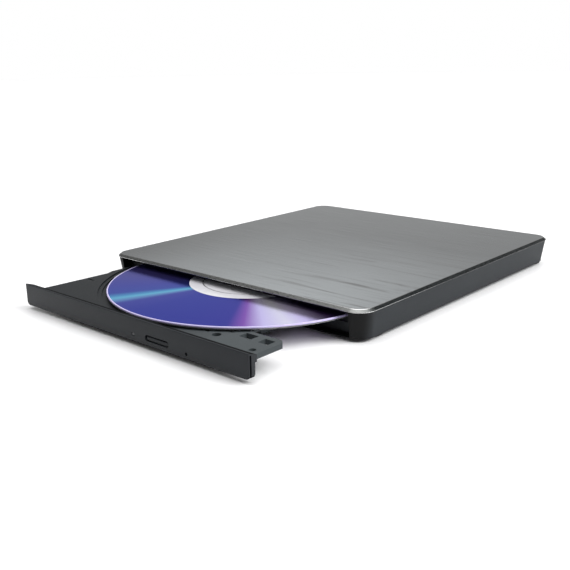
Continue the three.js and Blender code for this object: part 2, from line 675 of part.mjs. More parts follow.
function traverseBase() {
  const { z0, z1, left, right, front, back, corner } = traversePlate;
  const plan = outline([
    [left, front],
    [right - corner, front],
    [right, front + corner],
    [right, back],
    [left, back],
  ]);
  const posts = [];
  for (const x of [-rodX, rodX]) {
    for (const y of rodPost.ys) {
      const half = rodPost.halfWidth;
      posts.push(box(x - half, x + half, y, y + rodPost.depth, z1 - 0.05, rodPost.z1));
    }
  }
  const shaftX = screwShaft.x;
  const half = screwPost.halfWidth;
  posts.push(box(shaftX - half, shaftX + half, screwPost.y0, screwPost.y1, z1 - 0.05, rodPost.z1));
  let base = join(slab(plan, z0, z1), ...posts);
  for (const x of [-rodX, rodX]) {
    base = base.subtract(alongY(x, rodZ, rodRadius + 0.1, front - 1, rodEnds[1] + 0.5));
  }
  base = base.subtract(alongY(shaftX, rodZ, screwPost.bore, screwPost.y0 - 1, screwPost.y1 + 1));
  for (const [x, y] of dampers) {
    base = base.subtract(upright(x, y, damperSize.bore, z0 - 1, z1 + 1, 12));
  }
  return base.subtract(box(...laserWindow, z0 - 1, z1 + 0.15));
}

function traverseCover() {
  const { z0, z1, gap, slotHalf, slotEnd } = traverseSheet;
  return traverseRoom(gap, z1 + 1)
    .intersect(upright(0, 0, windowRadius - gap, z0, z1, 64))
    .subtract(box(-slotHalf, slotHalf, lensY - sledTravel - 5, slotEnd, z0 - 1, z1 + 1))
    .subtract(upright(0, 0, hubHole - 1, z0 - 1, z1 + 1, 40));
}

function damper([x, y]) {
  const { radius, bore, z0, z1 } = damperSize;
  return upright(x, y, radius, z0, z1, 20).subtract(upright(x, y, bore, z0 - 1, z1 + 1, 12));
}

function damperScrew([x, y]) {
  const { headRadius, z0, headTopZ, radius, z1 } = damperScrewSize;
  return join(upright(x, y, headRadius, z0, headTopZ, 16), upright(x, y, radius, headTopZ - weld, z1, 12));
}

function guideRod(x) {
  return alongY(x, rodZ, rodRadius, ...rodEnds);
}

function sledMotor() {
  const { halfWidth, y0, y1, z1 } = sledMotorSize;
  return box(screwShaft.x - halfWidth, screwShaft.x + halfWidth, y0, y1, motor.z0, z1);
}

// The laser's carriage: bored for one rod, open beside the other, with a tooth at the screw.
function pickupSled() {
  const inner = lensY + 8;
  const outer = lensY - 6;
  const bore = rodRadius + 0.08;
  const { inner: earX, outer: tipX, z1 } = sledEars;
  let sled = join(
    box(-sledHalfWidth, sledHalfWidth, outer, inner, sledFloorZ, 6.85),
    box(-tipX, -earX, outer, inner, sledFloorZ - 0.05, z1),
    box(earX, tipX, outer + 4, inner - 4, sledFloorZ - 0.05, z1),
    box(tipX - 1, screwShaft.x - screwShaft.radius - 0.2, lensY - 1, lensY + 1, 5, 6),
  );
  for (const x of [-rodX, rodX]) {
    sled = sled.subtract(alongY(x, rodZ, bore, outer - 1, inner + 1));
  }
  return sled.subtract(box(-6, 6, lensY - 5, lensY + 5, 5.8, 8));
}

function lensHolder() {
  const { halfX, halfY, z0, z1, bore } = lensFrame;
  const holder = box(-halfX, halfX, lensY - halfY, lensY + halfY, z0, z1);
  return holder.subtract(upright(0, lensY, bore, z0 + 0.4, z1 + 1, 24));
}

function objectiveLens() {
  const dome = new THREE.SphereGeometry(lens.domeRadius, 24, 24);
  const ball = solid(dome.rotateX(Math.PI / 2).translate(0, lensY, lens.domeZ));
  return ball.intersect(upright(0, lensY, lens.radius, lens.rimZ, lens.rimZ + 3, 24));
}

function discHub() {
  const profile = [
    [0, 6.4],
    [13, 6.4],
    [13, 7.3],
    [12.4, 7.8],
    [7.2, 7.8],
    [7.2, 9.2],
    [6.6, 9.6],
    [0, 9.6],
  ];
  const { z0, halfWidth, room } = claw;
  let hub = turned(profile, 40);
  for (let i = 0; i < 3; i++) {
    const slot = box(3.8, 8, -halfWidth - room, halfWidth + room, z0 - room, 11);
    hub = hub.subtract(slot.rotate([0, 0, 120 * i]));
  }
  return hub;
}

function chuckClaw(i) {
  const { z0, z1, halfWidth, root, shoulder, tip } = claw;
  const overDisc = disc.bottomZ + disc.thickness + 0.08;
  return box(root, shoulder, -halfWidth, halfWidth, z0, z1)
    .add(box(shoulder - weld, tip, -halfWidth, halfWidth, overDisc, z1))
    .rotate([0, 0, 120 * i]);
}

function opticalDisc() {
  const { radius, hole, bottomZ, thickness } = disc;
  const topZ = bottomZ + thickness;
  return turned(
    [
      [hole, bottomZ],
      [radius, bottomZ],
      [radius, topZ],
      [hole, topZ],
      [hole, bottomZ],
    ],
    96,
  );
}

// The fixed pieces: the case, and the drive inside it.
const caseGroup = new THREE.Group();
caseGroup.add(piece("top_cover", topCover(), finishes.cover));
caseGroup.add(piece("bottom_case", bottomCase(), finishes.shell));
for (const place of screwPlaces) {
  const sole = slab(footOutline(place, 0), 0, foot.height, 4);
  caseGroup.add(piece(`foot_${place.name}`, sole, finishes.rubber));
  caseGroup.add(piece(`case_screw_${place.name}`, caseScrew(place), finishes.blackSteel));
}
caseGroup.add(piece("drive_chassis", driveChassis(), finishes.sheetSteel));
caseGroup.add(piece("drive_cover", driveCover(), finishes.sheetSteel));
coverScrewPlaces.forEach((place, i) => {
  caseGroup.add(piece(`cover_screw_${i + 1}`, coverScrew(place), finishes.blackSteel));
});
for (const side of ["left", "right"]) {
  caseGroup.add(piece(`outer_rail_${side}`, rail(side, outerRailSize), finishes.sheetSteel));
}
caseGroup.add(piece("main_board", box(...mainBoardBox), finishes.board));
caseGroup.add(piece("main_chip", box(...mainChipBox), finishes.chip));
caseGroup.add(piece("flex_cable", flexCable(), finishes.flex));
caseGroup.add(piece("drive_sata_plug", sataPlug(), finishes.connector));
caseGroup.add(piece("bridge_sata_socket", sataSocket(), finishes.connector));
caseGroup.add(piece("bridge_board", box(...bridgeBoardBox), finishes.board));
caseGroup.add(piece("bridge_chip", box(...bridgeChipBox), finishes.chip));
caseGroup.add(piece("bridge_capacitor", capacitor(), finishes.polishedSteel));
caseGroup.add(piece("usb_socket", usbSocket(), finishes.polishedSteel));

// The middle rails come out half as far as the tray.
const middleRailGroup = new THREE.Group();
middleRailGroup.position.y = -trayOpenAtRest / 2;
for (const side of ["left", "right"]) {
  const body = rail(side, middleRailSize);
  middleRailGroup.add(piece(`middle_rail_${side}`, body, finishes.polishedSteel));
}

// The spindle, sled and disc, drawn about the spindle's axis.
const traverseGroup = new THREE.Group();
traverseGroup.position.set(hubX, hubY, 0);
traverseGroup.rotation.z = THREE.MathUtils.degToRad(traverseTurn);
traverseGroup.add(piece("traverse_base", traverseBase(), finishes.sheetSteel));
traverseGroup.add(piece("traverse_cover", traverseCover(), finishes.blackSteel));
const spindleMotor = upright(0, 0, motor.radius, motor.z0, motor.z1, 40);
traverseGroup.add(piece("spindle_motor", spindleMotor, finishes.sheetSteel));
traverseGroup.add(piece("guide_rod_rear", guideRod(-rodX), finishes.polishedSteel));
traverseGroup.add(piece("guide_rod_front", guideRod(rodX), finishes.polishedSteel));
traverseGroup.add(piece("sled_motor", sledMotor(), finishes.sheetSteel));
const { x: shaftX, radius: shaftRadius, y0: shaftY0, y1: shaftY1 } = screwShaft;
const leadScrew = alongY(shaftX, rodZ, shaftRadius, shaftY0, shaftY1);
traverseGroup.add(piece("lead_screw", leadScrew, finishes.polishedSteel));
traverseGroup.add(piece("pickup_sled", pickupSled(), finishes.blackSteel));
traverseGroup.add(piece("lens_holder", lensHolder(), finishes.chip));
traverseGroup.add(piece("objective_lens", objectiveLens(), finishes.lens));
dampers.forEach((place, i) => {
  traverseGroup.add(piece(`damper_${i + 1}`, damper(place), finishes.rubber));
  traverseGroup.add(piece(`damper_screw_${i + 1}`, damperScrew(place), finishes.blackSteel));
});
traverseGroup.add(piece("disc_hub", discHub(), finishes.hub));
for (let i = 0; i < 3; i++) {
  traverseGroup.add(piece(`chuck_claw_${i + 1}`, chuckClaw(i), finishes.hub));
}
traverseGroup.add(piece("disc", opticalDisc(), finishes.disc));

const trayGroup = new THREE.Group();
trayGroup.position.y = -trayOpenAtRest;
trayGroup.add(traverseGroup);
trayGroup.add(piece("tray", tray(), finishes.tray));
trayGroup.add(piece("front_bezel", frontBezel(), finishes.bezel));
trayGroup.add(piece("eject_button", ejectButton(), finishes.bezel));
trayGroup.add(piece("led_light_pipe", lightPipe(), finishes.lightPipe));
trayGroup.add(piece("tray_board", box(...trayBoardBox), finishes.board));
trayGroup.add(piece("eject_switch", ejectSwitch(), finishes.connector));
trayGroup.add(piece("latch_hook", latchHook(), finishes.tray));
trayGroup.add(piece("latch_solenoid", latchSolenoid(), finishes.sheetSteel));
trayGroup.add(piece("eject_plunger", ejectPlunger(), finishes.polishedSteel));
trayGroup.add(piece("tray_bottom_plate", trayBottomPlate(), finishes.sheetSteel));

// The origin lies under the middle of the whole, with the tray as far out as it is here.
const opticalDrive = new THREE.Group();
opticalDrive.position.y = -(caseDepth - trayOpenAtRest) / 2;
opticalDrive.add(caseGroup, middleRailGroup, trayGroup);

export default opticalDrive;
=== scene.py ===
# A slim external optical drive, its tray half out and a disc on the spindle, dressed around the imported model.
import math

import bmesh
import bpy
from mathutils import Matrix, Vector


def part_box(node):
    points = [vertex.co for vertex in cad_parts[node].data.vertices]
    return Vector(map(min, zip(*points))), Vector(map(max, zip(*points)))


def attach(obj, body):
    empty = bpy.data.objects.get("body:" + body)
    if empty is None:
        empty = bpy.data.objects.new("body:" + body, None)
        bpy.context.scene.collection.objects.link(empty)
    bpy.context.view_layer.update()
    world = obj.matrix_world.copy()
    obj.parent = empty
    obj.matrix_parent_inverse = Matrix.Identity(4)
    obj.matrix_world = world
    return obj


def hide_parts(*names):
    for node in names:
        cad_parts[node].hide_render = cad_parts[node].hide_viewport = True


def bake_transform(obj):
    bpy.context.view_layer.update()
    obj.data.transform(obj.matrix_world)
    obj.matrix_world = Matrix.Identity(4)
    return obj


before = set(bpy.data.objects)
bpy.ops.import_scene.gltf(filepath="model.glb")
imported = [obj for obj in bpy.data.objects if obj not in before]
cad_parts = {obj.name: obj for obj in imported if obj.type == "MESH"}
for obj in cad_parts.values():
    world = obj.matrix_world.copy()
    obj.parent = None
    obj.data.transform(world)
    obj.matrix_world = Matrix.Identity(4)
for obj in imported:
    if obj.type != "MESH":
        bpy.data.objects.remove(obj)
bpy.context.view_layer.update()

scene = bpy.context.scene
mm = 0.001
scene.view_settings.view_transform = "Standard"
print("frame loaded:", len(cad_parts), "nodes")


cameraSet = {
    "place": (0.2271, -0.267, 0.0996),
    "azimuth": 41.78,
    "elevation": 16.1,
    "roll": -0.97,
    "lens": 50.08,
}

studio = {
    "skyStrength": 2.8,
    "skyBands": [(0.0, 0.1), (0.3, 0.1), (0.8, 0.11), (0.88, 0.85), (1.0, 1.0)],  # by height, of the strength
    "glowTowards": (-0.56, 0.74, 0.36),
    "glowLevel": 0.2,
    "glowSpread": 0.78,
    "keyStrength": 2.4,
    "keyAzimuth": 25,  # where the key stands, from +X towards +Y
    "keyElevation": 38,
    "keySoftness": 40,
    "floorRadius": 4.0,
    "floorTone": (0.95, 0.95, 0.955),
}


def addCamera():
    data = bpy.data.cameras.new("camera")
    data.lens = cameraSet["lens"]
    data.sensor_width = 36
    data.clip_start = 0.01
    camera = bpy.data.objects.new("camera", data)
    scene.collection.objects.link(camera)
    turn = Matrix.Rotation(math.radians(cameraSet["azimuth"]), 4, "Z")
    turn @= Matrix.Rotation(math.radians(90 - cameraSet["elevation"]), 4, "X")
    turn @= Matrix.Rotation(math.radians(cameraSet["roll"]), 4, "Z")
    camera.matrix_world = Matrix.Translation(cameraSet["place"]) @ turn
    scene.camera = camera


def addWorld():
    # a soft box overhead and a dim glow behind; the camera itself sees plain white
    world = bpy.data.worlds.new("studioWorld")
    world.use_nodes = True
    scene.world = world
    tree = world.node_tree
    nodes, links = tree.nodes, tree.links
    sky = nodes["Background"]
    sky.inputs["Strength"].default_value = studio["skyStrength"]
    coords = nodes.new("ShaderNodeTexCoord")
    split = nodes.new("ShaderNodeSeparateXYZ")
    links.new(coords.outputs["Generated"], split.inputs[0])
    bands = [(height, (level, level, level)) for height, level in studio["skyBands"]]
    overhead = colourRamp(tree, split.outputs["Z"], bands)
    towards = nodes.new("ShaderNodeVectorMath")
    towards.operation = "DOT_PRODUCT"
    towards.inputs[1].default_value = Vector(studio["glowTowards"]).normalized()
    links.new(coords.outputs["Generated"], towards.inputs[0])
    glow = setRange(tree, towards.outputs["Value"], None, 0.0, studio["glowLevel"], studio["glowSpread"], 1.0)
    mixColours(tree, 1.0, overhead, glow, sky.inputs["Color"], "ADD")
    white = nodes.new("ShaderNodeBackground")
    rays = nodes.new("ShaderNodeLightPath")
    either = nodes.new("ShaderNodeMixShader")
    links.new(rays.outputs["Is Camera Ray"], either.inputs["Fac"])
    links.new(sky.outputs[0], either.inputs[1])
    links.new(white.outputs[0], either.inputs[2])
    white.inputs["Color"].default_value = (1, 1, 1, 1)
    links.new(either.outputs[0], nodes["World Output"].inputs["Surface"])


def addKey():
    data = bpy.data.lights.new("key", "SUN")
    data.energy = studio["keyStrength"]
    data.angle = math.radians(studio["keySoftness"])
    key = bpy.data.objects.new("key", data)
    scene.collection.objects.link(key)
    turn = Matrix.Rotation(math.radians(90 + studio["keyAzimuth"]), 4, "Z")
    key.matrix_world = turn @ Matrix.Rotation(math.radians(90 - studio["keyElevation"]), 4, "X")


def addFloor():
    bm = bmesh.new()
    bmesh.ops.create_circle(bm, cap_ends=True, segments=64, radius=studio["floorRadius"])
    mesh = bpy.data.meshes.new("floor")
    bm.to_mesh(mesh)
    bm.free()
    floor = bpy.data.objects.new("floor", mesh)
    scene.collection.objects.link(floor)
    material, tree, shader = startMaterial("paleFloor", studio["floorTone"], 0.35)
    coords = objectCoords(tree)
    patches = noiseFactor(tree, coords, 0.02, 2)
    shader.inputs["Specular IOR Level"].default_value = 0.3
    setRange(tree, patches, shader.inputs["Roughness"], 0.3, 0.42)
    mesh.materials.append(material)


def startMaterial(name, colour, roughness, metallic=0.0, specular=0.5):
    material = bpy.data.materials.new(name)
    material.use_nodes = True
    tree = material.node_tree
    shader = tree.nodes["Principled BSDF"]
    shader.inputs["Base Color"].default_value = (*colour, 1)
    shader.inputs["Roughness"].default_value = roughness
    shader.inputs["Metallic"].default_value = metallic
    shader.inputs["Specular IOR Level"].default_value = specular
    return material, tree, shader


def objectCoords(tree, stretch=(1, 1, 1), centre=(0, 0, 0)):
    coords = tree.nodes.new("ShaderNodeTexCoord")
    centred = tree.nodes.new("ShaderNodeVectorMath")
    centred.operation = "SUBTRACT"
    centred.inputs[1].default_value = centre
    mapping = tree.nodes.new("ShaderNodeMapping")
    mapping.inputs["Scale"].default_value = [1000 * s for s in stretch]
    tree.links.new(coords.outputs["Object"], centred.inputs[0])
    tree.links.new(centred.outputs[0], mapping.inputs["Vector"])
    return mapping.outputs["Vector"]


def splitCoords(tree, centre=(0, 0, 0)):
    split = tree.nodes.new("ShaderNodeSeparateXYZ")
    tree.links.new(objectCoords(tree, centre=centre), split.inputs[0])
    return split


def noiseFactor(tree, coords, scale, detail=3, distortion=0.0):
    noise = tree.nodes.new("ShaderNodeTexNoise")
    noise.inputs["Scale"].default_value = scale
    noise.inputs["Detail"].default_value = detail
    noise.inputs["Distortion"].default_value = distortion
    tree.links.new(coords, noise.inputs["Vector"])
    return noise.outputs["Fac"]


def setRange(tree, factor, socket, low, high, fromLow=0.3, fromHigh=0.7):
    spread = tree.nodes.new("ShaderNodeMapRange")
    spread.inputs["From Min"].default_value = fromLow
    spread.inputs["From Max"].default_value = fromHigh
    spread.inputs["To Min"].default_value = low
    spread.inputs["To Max"].default_value = high
    tree.links.new(factor, spread.inputs["Value"])
    if socket is not None:
        tree.links.new(spread.outputs["Result"], socket)
    return spread.outputs["Result"]


def mixColours(tree, factor, first, second, socket=None, blend="MIX"):
    mix = tree.nodes.new("ShaderNodeMix")
    mix.data_type = "RGBA"
    mix.blend_type = blend
    colours = [s for s in mix.inputs if s.type == "RGBA"]
    for entry, colour in zip(colours, (first, second)):
        if isinstance(colour, tuple):
            entry.default_value = (*colour, 1)
        else:
            tree.links.new(colour, entry)
    if isinstance(factor, float):
        mix.inputs["Factor"].default_value = factor
    else:
        tree.links.new(factor, mix.inputs["Factor"])
    result = [s for s in mix.outputs if s.type == "RGBA"][0]
    if socket is not None:
        tree.links.new(result, socket)
    return result


def addBump(tree, shader, height, strength, distance):
    bump = tree.nodes.new("ShaderNodeBump")
    bump.inputs["Strength"].default_value = strength
    bump.inputs["Distance"].default_value = distance
    tree.links.new(height, bump.inputs["Height"])
    tree.links.new(bump.outputs["Normal"], shader.inputs["Normal"])


def maths(tree, operation, first, second=None):
    node = tree.nodes.new("ShaderNodeMath")
    node.operation = operation
    for entry, value in zip(node.inputs, (first, second)):
        if isinstance(value, (int, float)):
            entry.default_value = value
        elif value is not None:
            tree.links.new(value, entry)
    return node.outputs[0]


def betweenValues(tree, value, low, high):
    above = maths(tree, "GREATER_THAN", value, low)
    below = maths(tree, "LESS_THAN", value, high)
    return maths(tree, "MULTIPLY", above, below)


def radiusFrom(tree, split):
    across = maths(tree, "MULTIPLY", split.outputs["X"], split.outputs["X"])
    along = maths(tree, "MULTIPLY", split.outputs["Y"], split.outputs["Y"])
    return maths(tree, "SQRT", maths(tree, "ADD", across, along))


def colourRamp(tree, factor, stops, socket=None):
    ramp = tree.nodes.new("ShaderNodeValToRGB")
    elements = ramp.color_ramp.elements
    while len(elements) > 1:
        elements.remove(elements[-1])
    for index, (position, colour) in enumerate(stops):
        element = elements[0] if index == 0 else elements.new(position)
        element.position = position
        element.color = (*colour, 1)
    tree.links.new(factor, ramp.inputs["Fac"])
    if socket is not None:
        tree.links.new(ramp.outputs["Color"], socket)
    return ramp.outputs["Color"]


def shade(level, tint=(1, 1, 1)):
    return tuple(level * t for t in tint)


plateLook = {
    "metal": (0.365, 0.392, 0.405),
    "hair": 0.15,
    # painted sheen: how light the sheet is painted from left to right along its front edge, and all over at the
    # back, standing in for the studio's reflections
    "paintedSheenFront": [(-66, 0.27), (-54, 0.4), (-30, 0.69), (8, 0.98), (40, 1.12), (60, 1.06), (70, 0.96)],
    "paintedSheenBack": 0.36,
    "frontY": -47,
    "backY": 48,
}


def brushedPlate():
    look = plateLook
    material, tree, shader = startMaterial("brushedPlate", look["metal"], 0.3, 1.0)
    hairs = noiseFactor(tree, objectCoords(tree, (0.03, 5.5, 1)), 1.0, 4)
    streaks = noiseFactor(tree, objectCoords(tree, (0.012, 0.42, 1)), 1.0, 3, 0.9)
    waves = noiseFactor(tree, objectCoords(tree, (0.02, 0.16, 1)), 1.0, 2, 1.4)
    split = splitCoords(tree)
    # painted sheen: the base is lighter along the front and middle, dimmer at the back and the left
    across = setRange(tree, split.outputs["X"], None, 0.0, 1.0, -80, 80)
    stops = [((x + 80) / 160, shade(tone * 0.5)) for x, tone in look["paintedSheenFront"]]
    front = colourRamp(tree, across, stops)
    backwards = setRange(tree, split.outputs["Y"], None, 0.0, 1.0, look["frontY"], look["backY"])
    paintedSheen = mixColours(tree, backwards, front, shade(look["paintedSheenBack"] * 0.5))
    base = mixColours(tree, 1.0, paintedSheen, tuple(2 * c for c in look["metal"]), blend="MULTIPLY")
    # the deep streaks fade out towards the left side
    rightSide = setRange(tree, split.outputs["X"], None, 0.0, 1.0, -25, 45)
    depth = setRange(tree, streaks, None, 0.0, 1.0, 0.5, 0.66)
    depth = maths(tree, "MULTIPLY", depth, setRange(tree, waves, None, 0.0, 1.0, 0.42, 0.6))
    depth = maths(tree, "MULTIPLY", depth, rightSide)
    base = mixColours(tree, maths(tree, "MULTIPLY", depth, 0.75), base, shade(0.1))
    fine = setRange(tree, hairs, None, 0.0, look["hair"])
    mixColours(tree, fine, base, shade(0.16), shader.inputs["Base Color"])
    setRange(tree, hairs, shader.inputs["Roughness"], 0.24, 0.38)
    addBump(tree, shader, hairs, 0.1, 0.02 * mm)
    return material


def brightEdge():
    material, tree, shader = startMaterial("brightEdge", shade(0.62), 0.18, 1.0)
    marks = noiseFactor(tree, objectCoords(tree, (1, 1, 1)), 1.6, 3)
    setRange(tree, marks, shader.inputs["Roughness"], 0.14, 0.26)
    bright = mixColours(tree, marks, shade(0.56), shade(0.66))
    # painted shade: the polished line is darkened towards the back, standing in for its highlight fading off
    split = splitCoords(tree)
    paintedFadeBack = setRange(tree, split.outputs["Y"], None, 0.0, 0.85, -46, 5)
    mixColours(tree, paintedFadeBack, bright, shade(0.1), shader.inputs["Base Color"])
    return material


def chamferMetal():
    # bright along the front edge; painted shade round the other sides, standing in for the reflections the
    # chamfer misses there
    material = rolledSteel("chamferMetal", (0.24, 0.245, 0.24), 0.28, (0.5, 0.5, 2))
    tree = material.node_tree
    base = tree.nodes["Principled BSDF"].inputs["Base Color"]
    split = splitCoords(tree)
    paintedShade = setRange(tree, split.outputs["Y"], None, 0.0, 0.94, -51, -44)
    mixColours(tree, paintedShade, base.links[0].from_socket, (0.03, 0.036, 0.038), base)
    return material


def mouldedPlastic(name, colour, roughness, grain=7.0, bump=0.25, specular=0.4):
    material, tree, shader = startMaterial(name, colour, roughness, 0.0, specular)
    coords = objectCoords(tree)
    texture = noiseFactor(tree, coords, grain, 3)
    clouds = noiseFactor(tree, coords, 0.08, 3)
    lighter = tuple(c * 1.16 for c in colour)
    darker = tuple(c * 0.86 for c in colour)
    mixColours(tree, clouds, darker, lighter, shader.inputs["Base Color"])
    setRange(tree, texture, shader.inputs["Roughness"], roughness - 0.06, roughness + 0.08)
    addBump(tree, shader, texture, bump, 0.01 * mm)
    return material


def shellPlastic():
    # painted shade: darker round the front corners, beside the opening, where the key light does not reach
    colour = (0.021, 0.0245, 0.028)
    material = mouldedPlastic("shellPlastic", colour, 0.5, 6.0, 0.3, 0.16)
    tree = material.node_tree
    base = tree.nodes["Principled BSDF"].inputs["Base Color"]
    split = splitCoords(tree)
    front = setRange(tree, split.outputs["Y"], None, 0.92, 0.0, -49, -44)
    mixColours(tree, front, base.links[0].from_socket, shade(0.003), base)
    return material


trayLook = {
    "left": (0.0082, 0.0102, 0.0122),
    "wing": (0.052, 0.061, 0.065),
    "glint": (0.3, 0.31, 0.32),
    "glintRadius": (61.9, 62.15),
    "glintAngles": (-172, -150),
}


def trayPlastic(hub):
    # painted light: the tray is lighter from 8 to 40 mm right of the hub, where it faces the key light, and a
    # painted highlight arc lies on the step round the disc at the left
    look = trayLook
    material = mouldedPlastic("trayPlastic", look["left"], 0.5, 6.0, 0.25, 0.14)
    tree = material.node_tree
    base = tree.nodes["Principled BSDF"].inputs["Base Color"]
    split = splitCoords(tree, hub)
    wing = setRange(tree, split.outputs["X"], None, 0.0, 1.0, 8, 40)
    tone = mixColours(tree, wing, base.links[0].from_socket, look["wing"])
    # painted highlight: a thin arc at the step's edge, picked out by radius and angle
    angle = maths(tree, "ARCTAN2", split.outputs["Y"], split.outputs["X"])
    low, high = [math.radians(a) for a in look["glintAngles"]]
    inner, outer = look["glintRadius"]
    ring = betweenValues(tree, radiusFrom(tree, split), inner, outer)
    ring = maths(tree, "MULTIPLY", ring, betweenValues(tree, angle, low, high))
    mixColours(tree, ring, tone, look["glint"], base)
    return material


def footRubber():
    material, tree, shader = startMaterial("footRubber", shade(0.012), 0.85, 0.0, 0.3)
    coords = objectCoords(tree)
    dust = noiseFactor(tree, coords, 2.2, 4)
    mixColours(tree, dust, shade(0.009), shade(0.022), shader.inputs["Base Color"])
    addBump(tree, shader, noiseFactor(tree, coords, 9.0, 2), 0.4, 0.02 * mm)
    return material


def rolledSteel(name, colour, roughness, stretch=(0.4, 4, 0.4), metallic=1.0):
    material, tree, shader = startMaterial(name, colour, roughness, metallic)
    grain = noiseFactor(tree, objectCoords(tree, stretch), 1.0, 4)
    blotches = noiseFactor(tree, objectCoords(tree), 0.12, 3)
    darker = tuple(c * 0.8 for c in colour)
    mixColours(tree, blotches, darker, colour, shader.inputs["Base Color"])
    setRange(tree, grain, shader.inputs["Roughness"], roughness - 0.07, roughness + 0.12)
    addBump(tree, shader, grain, 0.12, 0.01 * mm)
    return material


def boardMask():
    mask, copper, silk = (0.012, 0.085, 0.03), (0.03, 0.16, 0.06), (0.55, 0.56, 0.5)
    material, tree, shader = startMaterial("boardMask", mask, 0.35)
    coords = objectCoords(tree)
    tracks = tree.nodes.new("ShaderNodeTexBrick")
    tracks.inputs["Scale"].default_value = 0.55
    tracks.inputs["Mortar Size"].default_value = 0.09
    tree.links.new(coords, tracks.inputs["Vector"])
    base = mixColours(tree, tracks.outputs["Fac"], mask, copper)
    dots = tree.nodes.new("ShaderNodeTexVoronoi")
    dots.inputs["Scale"].default_value = 0.4
    tree.links.new(coords, dots.inputs["Vector"])
    pads = setRange(tree, dots.outputs["Distance"], None, 1.0, 0.0, 0.12, 0.16)
    mixColours(tree, pads, base, silk, shader.inputs["Base Color"])
    addBump(tree, shader, tracks.outputs["Fac"], 0.3, 0.02 * mm)
    return material


def ribbonFilm():
    film, copper = (0.42, 0.17, 0.035), (0.62, 0.33, 0.12)
    material, tree, shader = startMaterial("ribbonFilm", film, 0.3)
    wires = tree.nodes.new("ShaderNodeTexWave")
    wires.wave_profile = "SIN"
    wires.inputs["Scale"].default_value = 0.32
    tree.links.new(objectCoords(tree), wires.inputs["Vector"])
    mixColours(tree, wires.outputs["Fac"], film, copper, shader.inputs["Base Color"])
    addBump(tree, shader, wires.outputs["Fac"], 0.3, 0.02 * mm)
    return material


discDyeAndPaintedSheen = {  # the dye's colours round the disc, by the angle from +X, in linear light, with painted reflections: cyan streaks near -117, 70 and 130 degrees, a pale lavender sheen from -49 to -27, and painted shade near -18 where the disc runs under the case
    "stops": [
        (-180, (0.075, 0.06, 0.26)),
        (-150, (0.082, 0.07, 0.29)),
        (-133, (0.055, 0.062, 0.36)),
        (-122, (0.045, 0.08, 0.38)),
        (-118, (0.08, 0.36, 0.6)),
        (-115, (0.17, 0.62, 0.78)),
        (-112, (0.16, 0.36, 0.6)),
        (-108, (0.055, 0.062, 0.35)),
        (-95, (0.03, 0.038, 0.33)),
        (-75, (0.028, 0.034, 0.32)),
        (-55, (0.034, 0.03, 0.31)),
        (-49, (0.3, 0.1, 0.48)),
        (-42, (0.78, 0.7, 1.0)),
        (-34, (0.95, 0.92, 1.0)),
        (-27, (0.8, 0.7, 1.0)),
        (-18, (0.1, 0.05, 0.18)),
        (20, (0.075, 0.055, 0.26)),
        (60, (0.06, 0.09, 0.33)),
        (70, (0.1, 0.28, 0.48)),
        (80, (0.06, 0.08, 0.34)),
        (130, (0.2, 0.17, 0.44)),
        (145, (0.09, 0.06, 0.27)),
        (180, (0.075, 0.06, 0.26)),
    ],
}


def discFace(hub):
    material, tree, shader = startMaterial("discFace", (0.05, 0.06, 0.33), 0.14, 0.85)
    shader.inputs["Specular Tint"].default_value = (0.53, 0.56, 0.84, 1)
    split = splitCoords(tree, hub)
    angle = maths(tree, "ARCTAN2", split.outputs["Y"], split.outputs["X"])
    along = setRange(tree, angle, None, 0.0, 1.0, -math.pi, math.pi)
    stops = [((degrees + 180) / 360, colour) for degrees, colour in discDyeAndPaintedSheen["stops"]]
    colourRamp(tree, along, stops, shader.inputs["Base Color"])
    joined = tree.nodes.new("ShaderNodeCombineXYZ")
    tree.links.new(radiusFrom(tree, split), joined.inputs["X"])
    rings = noiseFactor(tree, joined.outputs[0], 2.2, 2)
    setRange(tree, rings, shader.inputs["Roughness"], 0.1, 0.18)
    return material


def discBand():
    # painted reflection: the band is a pale diffuse colour standing in for the white it mirrors
    material, tree, shader = startMaterial("discBand", (0.6, 0.6, 0.62), 0.2)
    wear = noiseFactor(tree, objectCoords(tree), 0.5, 3)
    setRange(tree, wear, shader.inputs["Roughness"], 0.08, 0.2)
    mixColours(tree, wear, (0.56, 0.56, 0.6), (0.66, 0.655, 0.68), shader.inputs["Base Color"])
    return material


def discRim():
    material, tree, shader = startMaterial("discRim", (0.55, 0.48, 0.78), 0.25)
    wear = noiseFactor(tree, objectCoords(tree), 0.4, 3)
    setRange(tree, wear, shader.inputs["Roughness"], 0.18, 0.3)
    mixColours(tree, wear, (0.5, 0.44, 0.76), (0.62, 0.56, 0.82), shader.inputs["Base Color"])
    return material


def discClear():
    material, tree, shader = startMaterial("discClear", (0.8, 0.82, 0.86), 0.06)
    shader.inputs["Transmission Weight"].default_value = 0.85
    shader.inputs["IOR"].default_value = 1.55
    haze = noiseFactor(tree, objectCoords(tree), 0.7, 2)
    setRange(tree, haze, shader.inputs["Roughness"], 0.04, 0.12)
    return material


def smokedClear():
    material, tree, shader = startMaterial("smokedClear", (0.03, 0.034, 0.038), 0.2)
    shader.inputs["Transmission Weight"].default_value = 0.2
    cloud = noiseFactor(tree, objectCoords(tree), 1.5, 2)
    setRange(tree, cloud, shader.inputs["Roughness"], 0.1, 0.25)
    return material


def coatedLens():
    material, tree, shader = startMaterial("coatedLens", (0.3, 0.42, 0.85), 0.03)
    shader.inputs["Transmission Weight"].default_value = 0.7
    shader.inputs["Coat Weight"].default_value = 1.0
    film = noiseFactor(tree, objectCoords(tree), 0.9, 2)
    mixColours(tree, film, (0.25, 0.36, 0.85), (0.42, 0.3, 0.8), shader.inputs["Base Color"])
    return material


